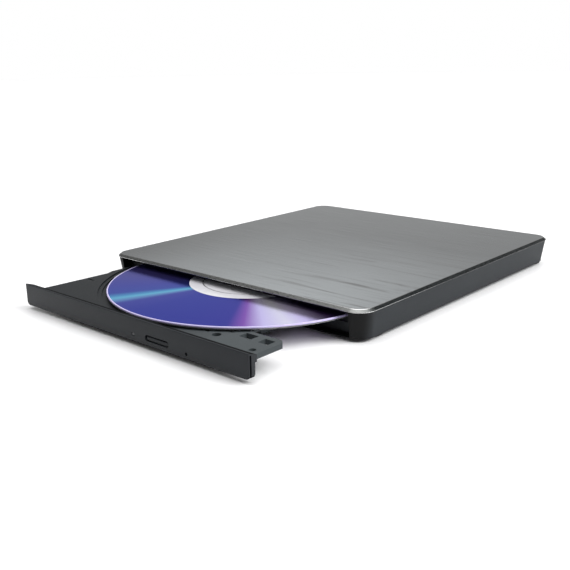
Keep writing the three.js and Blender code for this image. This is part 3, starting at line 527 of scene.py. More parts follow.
def makeMaterials(hub):
    return {
        "plate": brushedPlate(),
        "edge": brightEdge(),
        "chamfer": chamferMetal(),
        "contact": rolledSteel("contactGold", (0.75, 0.52, 0.2), 0.2, (3, 3, 3)),
        "discRim": discRim(),
        "shell": shellPlastic(),
        "bezel": mouldedPlastic("bezelPlastic", (0.015, 0.0175, 0.021), 0.45, 7.0, 0.2, 0.24),
        "paintedShade": mouldedPlastic("paintedShadePlastic", (0.004, 0.0045, 0.005), 0.85, 7.0, 0.2, 0.05),
        "tray": trayPlastic(hub),
        "hub": mouldedPlastic("hubPlastic", (0.02, 0.02, 0.022), 0.35, 6.0, 0.2),
        "connector": mouldedPlastic("connectorPlastic", (0.012, 0.012, 0.013), 0.4, 8.0, 0.2),
        "rubber": footRubber(),
        "sheetSteel": rolledSteel("sheetSteel", (0.42, 0.43, 0.44), 0.34),
        "chassisSteel": rolledSteel("chassisSteel", (0.05, 0.054, 0.057), 0.4),
        "blackSteel": rolledSteel("blackSteel", (0.02, 0.02, 0.022), 0.4, metallic=0.4),
        "screwSteel": rolledSteel("screwSteel", (0.06, 0.06, 0.065), 0.32, (2, 2, 2)),
        "polishedSteel": rolledSteel("polishedSteel", (0.62, 0.63, 0.64), 0.16, (3, 3, 3)),
        "board": boardMask(),
        "film": ribbonFilm(),
        "discFace": discFace(hub),
        "discBand": discBand(),
        "discClear": discClear(),
        "smoked": smokedClear(),
        "lens": coatedLens(),
    }


def bevelEdges(bm, edges, width, segments):
    bmesh.ops.bevel(
        bm, geom=list(edges), offset=width, offset_type="OFFSET", segments=segments, profile=0.5,
        affect="EDGES", material=-1,
    )


def bevelCorners(bm, corners, width, segments):
    bmesh.ops.bevel(
        bm, geom=corners, offset=width, offset_type="OFFSET", segments=segments, profile=0.5,
        affect="VERTICES", material=-1,
    )


def outlineFace(bm, x0, x1, y0, y1, z, radius, segments=8):
    before = set(bm.faces)
    corners = [bm.verts.new((x, y, z)) for x, y in ((x0, y0), (x1, y0), (x1, y1), (x0, y1))]
    bm.faces.new(corners)
    bevelCorners(bm, corners, radius, segments)
    return [face for face in bm.faces if face not in before]


def growFaces(bm, faces, rise):
    grown = bmesh.ops.extrude_face_region(bm, geom=faces)["geom"]
    bmesh.ops.translate(bm, verts=[g for g in grown if isinstance(g, bmesh.types.BMVert)], vec=rise)
    return [g for g in grown if isinstance(g, bmesh.types.BMFace)]


def finishPiece(name, bm, materials, body, nodes=(), recalc=True):
    if recalc:
        bmesh.ops.recalc_face_normals(bm, faces=bm.faces)
    mesh = bpy.data.meshes.new(name)
    bm.to_mesh(mesh)
    bm.free()
    for material in materials:
        mesh.materials.append(material)
    for polygon in mesh.polygons:
        polygon.use_smooth = True
    piece = bpy.data.objects.new(name, mesh)
    scene.collection.objects.link(piece)
    if nodes:
        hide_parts(*nodes)
    if body is not None:
        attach(piece, body)
    return piece


def roundEdges(piece, width, segments=2, angle=35):
    bevel = piece.modifiers.new("edges", "BEVEL")
    bevel.width = width
    bevel.segments = segments
    bevel.limit_method = "ANGLE"
    bevel.angle_limit = math.radians(angle)
    bevel.harden_normals = True
    return piece


def sharpByAngle(piece, angle=30):
    limit = math.radians(angle)
    mesh = piece.data
    bm = bmesh.new()
    bm.from_mesh(mesh)
    for edge in bm.edges:
        edge.smooth = len(edge.link_faces) == 2 and edge.calc_face_angle(0) < limit
    bm.to_mesh(mesh)
    bm.free()
    return piece


def refine(node, material, body, width=0.12 * mm, segments=2, cutter=None):
    bm = bmesh.new()
    bm.from_mesh(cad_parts[node].data)
    bmesh.ops.remove_doubles(bm, verts=bm.verts, dist=1e-7)
    bmesh.ops.dissolve_limit(
        bm, angle_limit=math.radians(0.6), verts=bm.verts, edges=bm.edges,
        use_dissolve_boundaries=False,
    )
    piece = finishPiece(node + "_made", bm, [material], body, [node], recalc=False)
    if cutter is not None:
        carve(piece, cutter)
    sharpByAngle(piece)
    roundEdges(piece, width, segments)
    return piece


def carve(piece, bm, operation="DIFFERENCE"):
    bmesh.ops.recalc_face_normals(bm, faces=bm.faces)
    mesh = bpy.data.meshes.new("cutter")
    bm.to_mesh(mesh)
    bm.free()
    cutter = bpy.data.objects.new("cutter", mesh)
    scene.collection.objects.link(cutter)
    boolean = piece.modifiers.new("carve", "BOOLEAN")
    boolean.object = cutter
    boolean.operation = operation
    boolean.solver = "EXACT"
    bpy.context.view_layer.update()
    graph = bpy.context.evaluated_depsgraph_get()
    carved = bpy.data.meshes.new_from_object(piece.evaluated_get(graph))
    piece.modifiers.clear()
    piece.data = carved
    bpy.data.objects.remove(cutter)


def addBox(bm, x0, x1, y0, y1, z0, z1):
    cube = bmesh.ops.create_cube(bm, size=1)["verts"]
    bmesh.ops.scale(bm, verts=cube, vec=(x1 - x0, y1 - y0, z1 - z0))
    bmesh.ops.translate(bm, verts=cube, vec=((x0 + x1) / 2, (y0 + y1) / 2, (z0 + z1) / 2))
    return cube


def addPost(bm, x, y, radius, z0, z1, segments=32):
    post = bmesh.ops.create_cone(
        bm, cap_ends=True, segments=segments, radius1=radius, radius2=radius, depth=z1 - z0,
    )["verts"]
    bmesh.ops.translate(bm, verts=post, vec=(x, y, (z0 + z1) / 2))
    return post


def addPill(bm, x, z, length, height, y0, y1, segments=8):
    corners = []
    for cx, cz in ((-1, -1), (1, -1), (1, 1), (-1, 1)):
        corners.append(bm.verts.new((x + cx * length / 2, y0, z + cz * height / 2)))
    before = set(bm.faces)
    bm.faces.new(corners)
    bevelCorners(bm, corners, height * 0.49, segments)
    return growFaces(bm, [f for f in bm.faces if f not in before], (0, y1 - y0, 0))


caseLow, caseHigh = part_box("bottom_case")
coverLow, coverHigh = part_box("top_cover")

coverShape = {
    "corner": 7.0 * mm,
    "edgeHeight": 0.2 * mm,
    "chamferInset": 1.1 * mm,
    "chamferRise": 0.86 * mm,
    "rimInset": 0.16 * mm,
    "rimRise": 0.14 * mm,
    "wall": 1.9 * mm,
    "recess": 0.3 * mm,
    "bossRadius": 2.3 * mm,
}


def topPlate(mats):
    bm = bmesh.new()
    shape = coverShape
    seatZ = coverHigh.z - shape["edgeHeight"] - shape["chamferRise"] - shape["rimRise"]
    face = outlineFace(
        bm, coverLow.x, coverHigh.x, coverLow.y, coverHigh.y, seatZ, shape["corner"], 14
    )
    face = growFaces(bm, face, (0, 0, shape["edgeHeight"]))
    sides = set(bm.faces)
    bmesh.ops.inset_region(
        bm, faces=face, thickness=shape["chamferInset"], depth=shape["chamferRise"], use_even_offset=True,
    )
    chamfer = set(bm.faces) - sides
    known = set(bm.faces)
    bmesh.ops.inset_region(
        bm, faces=face, thickness=shape["rimInset"], depth=shape["rimRise"], use_even_offset=True,
    )
    rim = set(bm.faces) - known
    bmesh.ops.recalc_face_normals(bm, faces=bm.faces)
    for f in chamfer:
        f.material_index = 1
    for f in rim:
        f.material_index = 2
    for f in bm.faces:
        if abs(f.normal.z) < 0.2:
            f.material_index = 2
    under = [f for f in bm.faces if f.normal.z < -0.9]
    bmesh.ops.inset_region(bm, faces=under, thickness=shape["wall"], depth=0, use_even_offset=True)
    growFaces(bm, under, (0, 0, shape["recess"]))
    for x, y in screwPlaces:
        addPost(bm, x, y, shape["bossRadius"], coverLow.z, seatZ + shape["recess"] + 0.1 * mm)
    piece = finishPiece(
        "topPlate", bm, [mats["plate"], mats["chamfer"], mats["edge"]], "case", ["top_cover"],
    )
    sharpByAngle(piece, 25)
    return roundEdges(piece, 0.06 * mm, 2, 25)


shellShape = {
    "corner": 6.4 * mm,
    "flare": 0.3 * mm,  # how far the rim comes out under the plate
    "lean": 1.2 * mm,
    "bottomRound": 0.5 * mm,
    "wall": 1.7 * mm,
    "floor": 1.0 * mm,
    "openingHalf": 64.8 * mm,
    "sill": 0.6 * mm,
    "lipDepth": 4.6 * mm,
    "postInset": 1.2 * mm,
    "postDepth": 9.0 * mm,
    "postRound": 5.0 * mm,
    "postFoot": 0.4 * mm,  # where posts, ribs and bosses start, inside the floor
    "ribPlaces": (36 * mm, 76 * mm, 116 * mm),
    "ribInner": 64.7 * mm,
    "ribDepth": 1.6 * mm,
    "ribTop": 9 * mm,
    "boss": (2.5 * mm, 4.3 * mm),  # radius and top
    "screwInset": (4.2 * mm, 13.4 * mm, 6.4 * mm),  # from the sides, the front and the back
    "screwWell": (1.15 * mm, 5 * mm),
    "headWell": (2.1 * mm, 2.7 * mm),
    "footPocket": (0.1 * mm, 2.6 * mm),  # gap and corner
    "usbHalf": 4.6 * mm,
    "usbHole": (3 * mm, 6.8 * mm),
}

middleY = (caseLow.y + caseHigh.y) / 2
screwPlaces = [
    (sign * (caseHigh.x - shellShape["screwInset"][0]), y)
    for sign in (-1, 1)
    for y in (caseLow.y + shellShape["screwInset"][1], caseHigh.y - shellShape["screwInset"][2])
]


def cornerPosts():
    shape = shellShape
    posts = bmesh.new()
    front, bottom = caseLow.y + shape["postInset"], caseLow.z + shape["postFoot"]
    outerX = caseHigh.x - shape["postInset"]
    for sign in (-1, 1):
        x0, x1 = sorted((sign * shape["openingHalf"], sign * outerX))
        post = addBox(posts, x0, x1, front, caseLow.y + shape["postDepth"], bottom, caseHigh.z)
        outerVerts = {v for v in post if abs(v.co.x - sign * outerX) < 1e-6 and abs(v.co.y - front) < 1e-6}
        outer = [e for e in posts.edges if outerVerts.issuperset(e.verts)]
        bevelEdges(posts, outer, shape["postRound"], 10)
        for place in shape["ribPlaces"]:
            ribY = caseLow.y + place
            x0, x1 = sorted((sign * shape["ribInner"], sign * outerX))
            addBox(posts, x0, x1, ribY, ribY + shape["ribDepth"], bottom, shape["ribTop"])
    return posts


def shellOpenings():
    shape = shellShape
    opening = bmesh.new()
    half = shape["openingHalf"]
    sillZ = caseLow.z + shape["sill"]
    addBox(opening, -half, half, caseLow.y - 1 * mm, caseLow.y + shape["lipDepth"], sillZ, 20 * mm)
    usbLow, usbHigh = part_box("usb_socket")
    usbX = (usbLow.x + usbHigh.x) / 2
    half = shape["usbHalf"]
    addBox(opening, usbX - half, usbX + half, caseHigh.y - 3 * mm, caseHigh.y + 2 * mm, *shape["usbHole"])
    return opening


def footPockets():
    wells = bmesh.new()
    radius, top = shellShape["screwWell"]
    for x, y in screwPlaces:
        addPost(wells, x, y, radius, 0, top)
    gap, corner = shellShape["footPocket"]
    for foot in footNames:
        low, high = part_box(foot)
        pocket = outlineFace(wells, low.x - gap, high.x + gap, low.y - gap, high.y + gap, 0, corner, 6)
        growFaces(wells, pocket, (0, 0, high.z + gap))
    return wells


def lowerShell(mats):
    shape = shellShape
    flare = shape["flare"]
    bm = bmesh.new()
    face = outlineFace(
        bm, caseLow.x - flare, caseHigh.x + flare, caseLow.y - flare, caseHigh.y + flare, caseHigh.z,
        shape["corner"] + flare, 14,
    )
    floorFace = growFaces(bm, face, (0, 0, caseLow.z - caseHigh.z))
    lower = {v for f in floorFace for v in f.verts}
    bmesh.ops.translate(bm, verts=list(lower), vec=(0, -middleY, 0))
    lean = (
        1 - shape["lean"] / caseHigh.x,
        1 - shape["lean"] / (caseHigh.y - middleY),
        1,
    )
    bmesh.ops.scale(bm, verts=list(lower), vec=lean)
    bmesh.ops.translate(bm, verts=list(lower), vec=(0, middleY, 0))
    rimEdges = [e for f in floorFace for e in f.edges]
    bevelEdges(bm, rimEdges, shape["bottomRound"], 5)
    bmesh.ops.recalc_face_normals(bm, faces=bm.faces)
    top = [f for f in bm.faces if f.normal.z > 0.9]
    bmesh.ops.inset_region(bm, faces=top, thickness=shape["wall"], depth=0, use_even_offset=True)
    floorZ = caseLow.z + shape["floor"]
    growFaces(bm, top, (0, 0, floorZ - caseHigh.z))
    piece = finishPiece("lowerShell", bm, [mats["shell"]], "case", ["bottom_case"])
    bpy.context.view_layer.update()
    carve(piece, cornerPosts(), "UNION")
    bosses = bmesh.new()
    radius, top = shape["boss"]
    for x, y in screwPlaces:
        addPost(bosses, x, y, radius, caseLow.z + shape["postFoot"], top)
    carve(piece, bosses, "UNION")
    # the cut leaves one flat face standing across the opening, at the back of the lip
    carve(piece, shellOpenings())
    carve(piece, footPockets())
    heads = bmesh.new()
    radius, top = shape["headWell"]
    for x, y in screwPlaces:
        addPost(heads, x, y, radius, 0, top)
    carve(piece, heads)
    sharpByAngle(piece, 28)
    return roundEdges(piece, 0.1 * mm, 2, 32)


footNames = [f"foot_{end}_{side}" for end in ("front", "rear") for side in ("left", "right")]

footShape = {
    "corner": 2.5 * mm,
    "taper": 1.6 * mm,  # how much narrower the sole is, both sides together
    "soleInset": 0.7 * mm,
    "edge": 0.35 * mm,
}


def feet(mats):
    shape = footShape
    for name in footNames:
        low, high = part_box(name)
        bm = bmesh.new()
        face = outlineFace(bm, low.x, high.x, low.y, high.y, high.z, shape["corner"], 8)
        sole = growFaces(bm, face, (0, 0, low.z - high.z))
        middle = Vector(((low.x + high.x) / 2, (low.y + high.y) / 2, 0))
        taper = (1 - shape["taper"] / (high.x - low.x), 1 - shape["taper"] / (high.y - low.y), 1)
        soleVerts = list({v for f in sole for v in f.verts})
        bmesh.ops.scale(bm, verts=soleVerts, vec=taper, space=Matrix.Translation(-middle))
        bmesh.ops.inset_region(bm, faces=sole, thickness=shape["soleInset"], depth=0, use_even_offset=True)
        edge = [e for f in sole for e in f.edges]
        outer = [e for e in bm.edges if all(abs(v.co.z - low.z) < 1e-7 for v in e.verts) and e not in edge]
        loop = [e for e in outer if len([f for f in e.link_faces if abs(f.normal.z) < 0.5]) == 1]
        bevelEdges(bm, loop, shape["edge"], 4)
        piece = finishPiece(name.replace("foot", "pad"), bm, [mats["rubber"]], "case", [name])
        sharpByAngle(piece, 35)


screwKinds = {  # head radius, where the head starts, head height, shaft radius, whether it faces down
    "case": (1.8 * mm, 1.5 * mm, 1.1 * mm, 0.95 * mm, True),
    "cover": (1.3 * mm, 11.25 * mm, 0.5 * mm, 0.6 * mm, False),
    "damper": (1.5 * mm, 3.5 * mm, 0.35 * mm, 0.7 * mm, True),
}


def crossScrew(name, node, kind, body, mats):
    headRadius, headZ, headHeight, shaftRadius, faceDown = screwKinds[kind]
    low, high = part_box(node)
    x, y = (low.x + high.x) / 2, (low.y + high.y) / 2
    bm = bmesh.new()
    head = addPost(bm, x, y, headRadius, headZ, headZ + headHeight, 40)
    faces = {f for v in head for f in v.link_faces}
    outward = -1 if faceDown else 1
    crown = [f for f in faces if f.normal.z * outward > 0.9]
    rim = {e for f in crown for e in f.edges}
    bevelEdges(bm, list(rim), headHeight * 0.35, 3)
    shaftLow, shaftHigh = low.z, headZ + headHeight * 0.1
    if faceDown:
        shaftLow, shaftHigh = headZ + headHeight * 0.9, high.z
    addPost(bm, x, y, shaftRadius, shaftLow, shaftHigh, 24)
    piece = finishPiece(name, bm, [mats["screwSteel"]], body, [node])
    cross = bmesh.new()
    crownZ = headZ if faceDown else headZ + headHeight
    for wide, deep in ((1, 0.24), (0.24, 1)):
        reach = headRadius * 0.62
        addBox(
            cross, x - reach * wide, x + reach * wide, y - reach * deep, y + reach * deep,
            crownZ - headHeight * 0.55, crownZ + headHeight * 0.55,
        )
    carve(piece, cross)
    return sharpByAngle(piece, 30)


bezelLow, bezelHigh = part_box("front_bezel")
trayLow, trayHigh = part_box("tray")

bezelShape = {
    "corner": 1.8 * mm,
    "lowerDepth": 3.0 * mm,
    "stepZ": 7.0 * mm,
    "frontRound": 0.3 * mm,
    "ridge": 0.6 * mm,
    "backTop": 1.2 * mm,  # how far the top slopes down behind
    "groove": (0.5 * mm, 1.3 * mm, 0.9 * mm),  # in each end: from, to, deep
    "holeRadius": 0.6 * mm,
    "hole": (34.8 * mm, 3.5 * mm),
}

frontPill = {  # middle x, middle z, length and height of what shows in the bezel
    "button": (19.3 * mm, 4.3 * mm, 12.0 * mm, 1.6 * mm),
    "buttonHole": (19.45 * mm, 4.55 * mm, 12.6 * mm, 2.3 * mm),
    "light": (6.3 * mm, 4.4 * mm, 1.7 * mm, 1.0 * mm),
    "lightHole": (6.3 * mm, 4.4 * mm, 1.9 * mm, 1.2 * mm),
}


def frontBezel(mats):
    shape = bezelShape
    bm = bmesh.new()
    y0, y1 = bezelLow.y, bezelHigh.y
    corners = []
    for x, z in (
        (bezelLow.x, bezelLow.z), (bezelHigh.x, bezelLow.z),
        (bezelHigh.x, bezelHigh.z), (bezelLow.x, bezelHigh.z),
    ):
        corners.append(bm.verts.new((x, y0, z)))
    bm.faces.new(corners)
    bevelCorners(bm, corners[:2], shape["corner"], 8)
    growFaces(bm, list(bm.faces), (0, y1 - y0, 0))
    bmesh.ops.recalc_face_normals(bm, faces=bm.faces)
    front = [e for f in bm.faces if f.normal.y < -0.9 for e in f.edges]
    bevelEdges(bm, front, shape["frontRound"], 4)
    piece = finishPiece("bezelPlate", bm, [mats["bezel"]], "tray", ["front_bezel"])
    cutter = bmesh.new()
    addBox(cutter, bezelLow.x - 1, bezelHigh.x + 1, y0 + shape["lowerDepth"], y1 + 1, 0, shape["stepZ"])
    carve(piece, cutter)
    slope = bmesh.new()
    backZ = bezelHigh.z - shape["backTop"]
    high = bezelHigh.z + 1 * mm
    profile = [(y0 + shape["ridge"], bezelHigh.z), (y1, backZ), (y1 + 1 * mm, backZ), (y1 + 1 * mm, high)]
    profile.append((y0 + shape["ridge"], high))
    side = slope.faces.new([slope.verts.new((bezelLow.x - 1 * mm, y, z)) for y, z in profile])
    growFaces(slope, [side], (bezelHigh.x - bezelLow.x + 2 * mm, 0, 0))
    carve(piece, slope)
    near, far, deep = shape["groove"]
    for x0, x1 in ((bezelLow.x - 1 * mm, bezelLow.x + deep), (bezelHigh.x - deep, bezelHigh.x + 1 * mm)):
        groove = bmesh.new()
        addBox(groove, x0, x1, y0 + near, y0 + far, bezelLow.z - 1 * mm, bezelHigh.z - 0.7 * mm)
        carve(piece, groove)
    for opening in ("buttonHole", "lightHole"):
        x, z, length, height = frontPill[opening]
        cutter = bmesh.new()
        addPill(cutter, x, z, length, height, y0 - 1 * mm, y1 + 1 * mm)
        carve(piece, cutter)
    x, z = shape["hole"]
    cutter = bmesh.new()
    addRod(cutter, (x, y0 - 1 * mm, z), (x, y1 + 1 * mm, z), shape["holeRadius"], 24)
    carve(piece, cutter)
    piece.data.materials.append(mats["paintedShade"])
    # painted shade: the underside near the bottom and the slope behind the top ridge get near-black plastic,
    # standing in for the contact shadow and the shade behind the ridge
    for polygon in piece.data.polygons:
        underside = polygon.normal.z < -0.3 and polygon.center.z < bezelLow.z + 2 * mm
        backSlope = polygon.normal.y > 0.1 and polygon.normal.z > 0.5
        polygon.material_index = 1 if underside or backSlope else 0
    sharpByAngle(piece, 30)
    return roundEdges(piece, 0.06 * mm, 2, 40)


def addRod(bm, start, end, radius, segments=24):
    start, end = Vector(start), Vector(end)
    rod = bmesh.ops.create_cone(
        bm, cap_ends=True, segments=segments, radius1=radius, radius2=radius, depth=(end - start).length,
    )["verts"]
    turn = (end - start).to_track_quat("Z", "Y").to_matrix()
    bmesh.ops.rotate(bm, verts=rod, cent=(0, 0, 0), matrix=turn)
    bmesh.ops.translate(bm, verts=rod, vec=(start + end) / 2)
    return rod


buttonShape = {
    "capDepth": 3 * mm,
    "round": 0.3 * mm,
    "sideGap": 0.1 * mm,
    "flange": (2.8 * mm, 3.5 * mm),  # from, to, behind the face
    "rod": (3.2 * mm, 5.6 * mm, 0.7 * mm),  # start behind the face, height, radius
}


def ejectButton(mats):
    shape = buttonShape
    low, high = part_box("eject_button")
    x, z, length, height = frontPill["button"]
    bm = bmesh.new()
    face = addPill(bm, x, z, length, height, low.y + shape["capDepth"], low.y)
    rim = [e for f in face for e in f.edges]
    bevelEdges(bm, rim, shape["round"], 4)
    gap, (near, far) = shape["sideGap"], shape["flange"]
    addBox(bm, low.x + gap, high.x - gap, low.y + near, low.y + far, low.z, high.z)
    start, rodZ, radius = shape["rod"]
    addRod(bm, (x, low.y + start, rodZ), (x, high.y, rodZ), radius)
    piece = finishPiece("buttonKey", bm, [mats["bezel"]], "button", ["eject_button"])
    return sharpByAngle(piece, 35)


def lightPipe(mats):
    low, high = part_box("led_light_pipe")
    x, z, length, height = frontPill["light"]
    bm = bmesh.new()
    face = addPill(bm, x, z, length, height, low.y + 3 * mm, low.y, 6)
    rim = [e for f in face for e in f.edges]
    bevelEdges(bm, rim, 0.12 * mm, 3)
    addBox(bm, x - 0.7 * mm, x + 0.7 * mm, low.y + 2.9 * mm, high.y, low.z, high.z)
    piece = finishPiece("lightWindow", bm, [mats["smoked"]], "tray", ["led_light_pipe"])
    return sharpByAngle(piece, 35)


discLow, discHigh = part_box("disc")
hub = Vector(((discLow.x + discHigh.x) / 2, (discLow.y + discHigh.y) / 2, 0))

discShape = {
    "radius": 60.0 * mm,
    "hole": 7.5 * mm,
    "bandStart": 10.5 * mm,
    "stackRing": 20.5 * mm,
    "dyeStart": 26.2 * mm,
    "dyeEnd": 59.4 * mm,
    "rimHeight": 0.5,  # of the thickness, how much of the side wall looks milky
}


def spinProfile(bm, points, steps=192, centre=None):
    centre = hub if centre is None else centre
    verts = [bm.verts.new((centre.x + r, centre.y, z)) for r, z in points]
    edges = [bm.edges.new(pair) for pair in zip(verts, verts[1:] + verts[:1])]
    bmesh.ops.spin(
        bm, geom=verts + edges, cent=centre, axis=(0, 0, 1), angle=2 * math.pi, steps=steps, use_merge=True,
    )
    bmesh.ops.remove_doubles(bm, verts=bm.verts, dist=1e-8)


def discPiece(mats):
    shape = discShape
    z0, z1 = discLow.z, discHigh.z
    edge = 0.18 * mm
    ring, step = shape["stackRing"], 0.12 * mm
    points = [
        (shape["hole"], z0 + edge), (shape["hole"], z1 - edge), (shape["hole"] + edge, z1),
        (shape["bandStart"], z1), (ring - 2 * step, z1), (ring - step, z1 - step), (ring + step, z1 - step),
        (ring + 2 * step, z1), (shape["dyeStart"], z1), (shape["dyeEnd"], z1),
        (shape["radius"] - edge, z1), (shape["radius"], z1 - edge),
        (shape["radius"], z0 + (z1 - z0) * (1 - shape["rimHeight"])),
        (shape["radius"], z0 + edge), (shape["radius"] - edge, z0),
        (shape["dyeEnd"], z0), (shape["dyeStart"], z0), (ring + step, z0), (ring, z0 + step),
        (ring - step, z0), (shape["bandStart"], z0), (shape["hole"] + edge, z0),
    ]
    bm = bmesh.new()
    spinProfile(bm, points, 240)
    for f in bm.faces:
        middle = f.calc_center_median() - hub
        distance = math.hypot(middle.x, middle.y)
        if distance > shape["dyeEnd"]:
            f.material_index = 3 if middle.z > z0 + (z1 - z0) * (1 - shape["rimHeight"]) else 2
        elif abs(f.normal.z) < 0.9 or abs(distance - ring) < 1.2 * step:
            f.material_index = 2
        elif distance > shape["dyeStart"]:
            f.material_index = 0
        elif distance > shape["bandStart"]:
            f.material_index = 1
        else:
            f.material_index = 2
    piece = finishPiece(
        "dataDisc", bm, [mats["discFace"], mats["discBand"], mats["discClear"], mats["discRim"]],
        "hub", ["disc"],
    )
    return sharpByAngle(piece, 40)


hubShape = {
    # radius and rise in mm, from the underside, from the disc's seat and from the top
    "flange": [(0, 0), (12.7, 0), (13, 0.3)],
    "seat": [(13, -0.5), (12.4, 0), (8.2, 0), (8.0, -0.25), (7.4, -0.25), (7.2, 0)],
    "boss": [
        (7.2, -0.4), (7.05, -0.15), (6.6, 0), (3.6, 0), (3.3, -0.35), (2.2, -0.35), (2.0, -0.1), (0, -0.1),
    ],
    "seatGap": 0.1 * mm,
    "slot": (3.8 * mm, 8 * mm, 1.05 * mm),  # from, to, half width
    "slotRise": 0.15 * mm,
    "firstSlot": -45,
}


def hubPiece(mats):
    shape = hubShape
    low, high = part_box("disc_hub")
    points = []
    for part, base in (("flange", low.z), ("seat", discLow.z - shape["seatGap"]), ("boss", high.z)):
        points += [(radius * mm, base + rise * mm) for radius, rise in shape[part]]
    bm = bmesh.new()
    verts = [bm.verts.new((hub.x + r, hub.y, z)) for r, z in points]
    edges = [bm.edges.new(pair) for pair in zip(verts, verts[1:])]
    bmesh.ops.spin(
        bm, geom=verts + edges, cent=hub, axis=(0, 0, 1), angle=2 * math.pi, steps=96, use_merge=True,
    )
    bmesh.ops.remove_doubles(bm, verts=bm.verts, dist=1e-7)
    piece = finishPiece("spindleHub", bm, [mats["hub"]], "hub", ["disc_hub"])
    bpy.context.view_layer.update()
    inner, outer, half = shape["slot"]
    for i in range(3):
        turn = Matrix.Rotation(math.radians(shape["firstSlot"] + 120 * i), 3, "Z")
        slot = bmesh.new()
        addBox(slot, inner, outer, -half, half, discLow.z + shape["slotRise"], 11 * mm)
        bmesh.ops.rotate(slot, verts=slot.verts, cent=(0, 0, 0), matrix=turn)
        bmesh.ops.translate(slot, verts=slot.verts, vec=hub)
        carve(piece, slot)
    return sharpByAngle(piece, 30)


trayShape = {
    "mark": (-57.0 * mm, -52.8 * mm, -77.3 * mm, -76.6 * mm),  # shallow slot near the left edge
    "markDepth": 0.5 * mm,
    "edge": 0.14 * mm,
}


def trayPiece(mats):
    slot = bmesh.new()
    addBox(slot, *trayShape["mark"], trayHigh.z - trayShape["markDepth"], trayHigh.z + 1 * mm)
    return refine("tray", mats["tray"], "tray", trayShape["edge"], 3, slot)


leadShape = {
    "z": 5.5 * mm,
    "endInset": Vector((0.7071, 0.7071, 0)) * mm,
    "pitch": 3.0 * mm,
    "radius": 0.98 * mm,
    "groove": 0.78 * mm,
    "stepsPerTurn": 24,
}


def leadScrew(mats):
    shape = leadShape
    low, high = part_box("lead_screw")
    start = Vector((high.x, high.y, shape["z"])) - shape["endInset"]
    end = Vector((low.x, low.y, shape["z"])) + shape["endInset"]
    axis = (end - start).normalized()
    length = (end - start).length
    pitch, radius, groove, steps = (shape[key] for key in ("pitch", "radius", "groove", "stepsPerTurn"))
    bm = bmesh.new()
    # one ridge outline carried round and along, then capped by two plain ends
    side = axis.cross(Vector((0, 0, 1))).normalized()
    outline = [(0.0, groove), (0.3, groove), (0.45, radius), (0.85, radius), (1.0, groove)]
    turns = int(length / pitch)
    verts = [bm.verts.new(start + axis * pitch * a + side * r) for a, r in outline]
    edges = [bm.edges.new(pair) for pair in zip(verts, verts[1:])]
    bmesh.ops.spin(
        bm, geom=verts + edges, cent=start, axis=axis, dvec=axis * pitch / steps,
        angle=2 * math.pi * turns, steps=steps * turns, use_merge=False,
    )
    addRod(bm, start, end, groove * 0.98, 24)
    piece = finishPiece(
        "threadedShaft", bm, [mats["polishedSteel"]], "lead_screw", ["lead_screw"],
    )
    return sharpByAngle(piece, 40)


usbShape = {
    "wall": 0.3 * mm,
    "corner": 0.7 * mm,
    "mouthCorner": 0.45 * mm,
    "backWall": 1.5 * mm,
    "springPlace": 2.1 * mm,  # either side of the middle
    "springHalf": 0.5 * mm,
    "springRun": (4.5 * mm, 1.6 * mm),  # from, to, behind the mouth
    "tongueHalf": 2.3 * mm,
    "tongueEdge": 0.1 * mm,
    "tongueZ": (4.5 * mm, 5.2 * mm),
    "pinPitch": 0.8 * mm,
    "pinHalf": 0.2 * mm,
    "pinZ": (4.42 * mm, 4.52 * mm),
}


def edgesAlongY(bm):
    return [e for e in bm.edges if abs(e.verts[0].co.y - e.verts[1].co.y) > 1 * mm]


def usbSocket(mats):
    shape = usbShape
    low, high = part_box("usb_socket")
    bm = bmesh.new()
    wall = shape["wall"]
    addBox(bm, low.x, high.x, low.y, high.y, low.z, high.z)
    bevelEdges(bm, edgesAlongY(bm), shape["corner"], 5)
    piece = finishPiece("usbShell", bm, [mats["polishedSteel"]], "case", ["usb_socket"])
    mouth = bmesh.new()
    backY = low.y + shape["backWall"]
    addBox(mouth, low.x + wall, high.x - wall, backY, high.y + 1 * mm, low.z + wall, high.z - wall)
    bevelEdges(mouth, edgesAlongY(mouth), shape["mouthCorner"], 5)
    carve(piece, mouth)
    middleX = (low.x + high.x) / 2
    half, (deep, near) = shape["springHalf"], shape["springRun"]
    for x in (middleX - shape["springPlace"], middleX + shape["springPlace"]):
        spring = bmesh.new()
        addBox(spring, x - half, x + half, high.y - deep, high.y - near, high.z - 1 * mm, high.z + 1 * mm)
        carve(piece, spring)
    sharpByAngle(piece, 30)
    tongue = bmesh.new()
    half = shape["tongueHalf"]
    addBox(tongue, middleX - half, middleX + half, low.y + 1 * mm, high.y - 1.5 * mm, *shape["tongueZ"])
    bevelEdges(tongue, tongue.edges, shape["tongueEdge"], 2)
    block = finishPiece("usbTongue", tongue, [mats["connector"]], "case")
    pins = bmesh.new()
    half = shape["pinHalf"]
    for i in (-2, -1, 0, 1, 2):
        x = middleX + i * shape["pinPitch"]
        addBox(pins, x - half, x + half, low.y + 2 * mm, high.y - 1.7 * mm, *shape["pinZ"])
    contacts = finishPiece("usbContacts", pins, [mats["contact"]], "case")
    return [piece, block, contacts]


ribbonShape = {
    "thickness": 0.13 * mm,
    "lowerZ": 3.015 * mm,
    "upperZ": 3.29 * mm,
    "width": 20 * mm,
    "upperRun": 42 * mm,
    "tail": 10 * mm,
    "steps": 24,
}


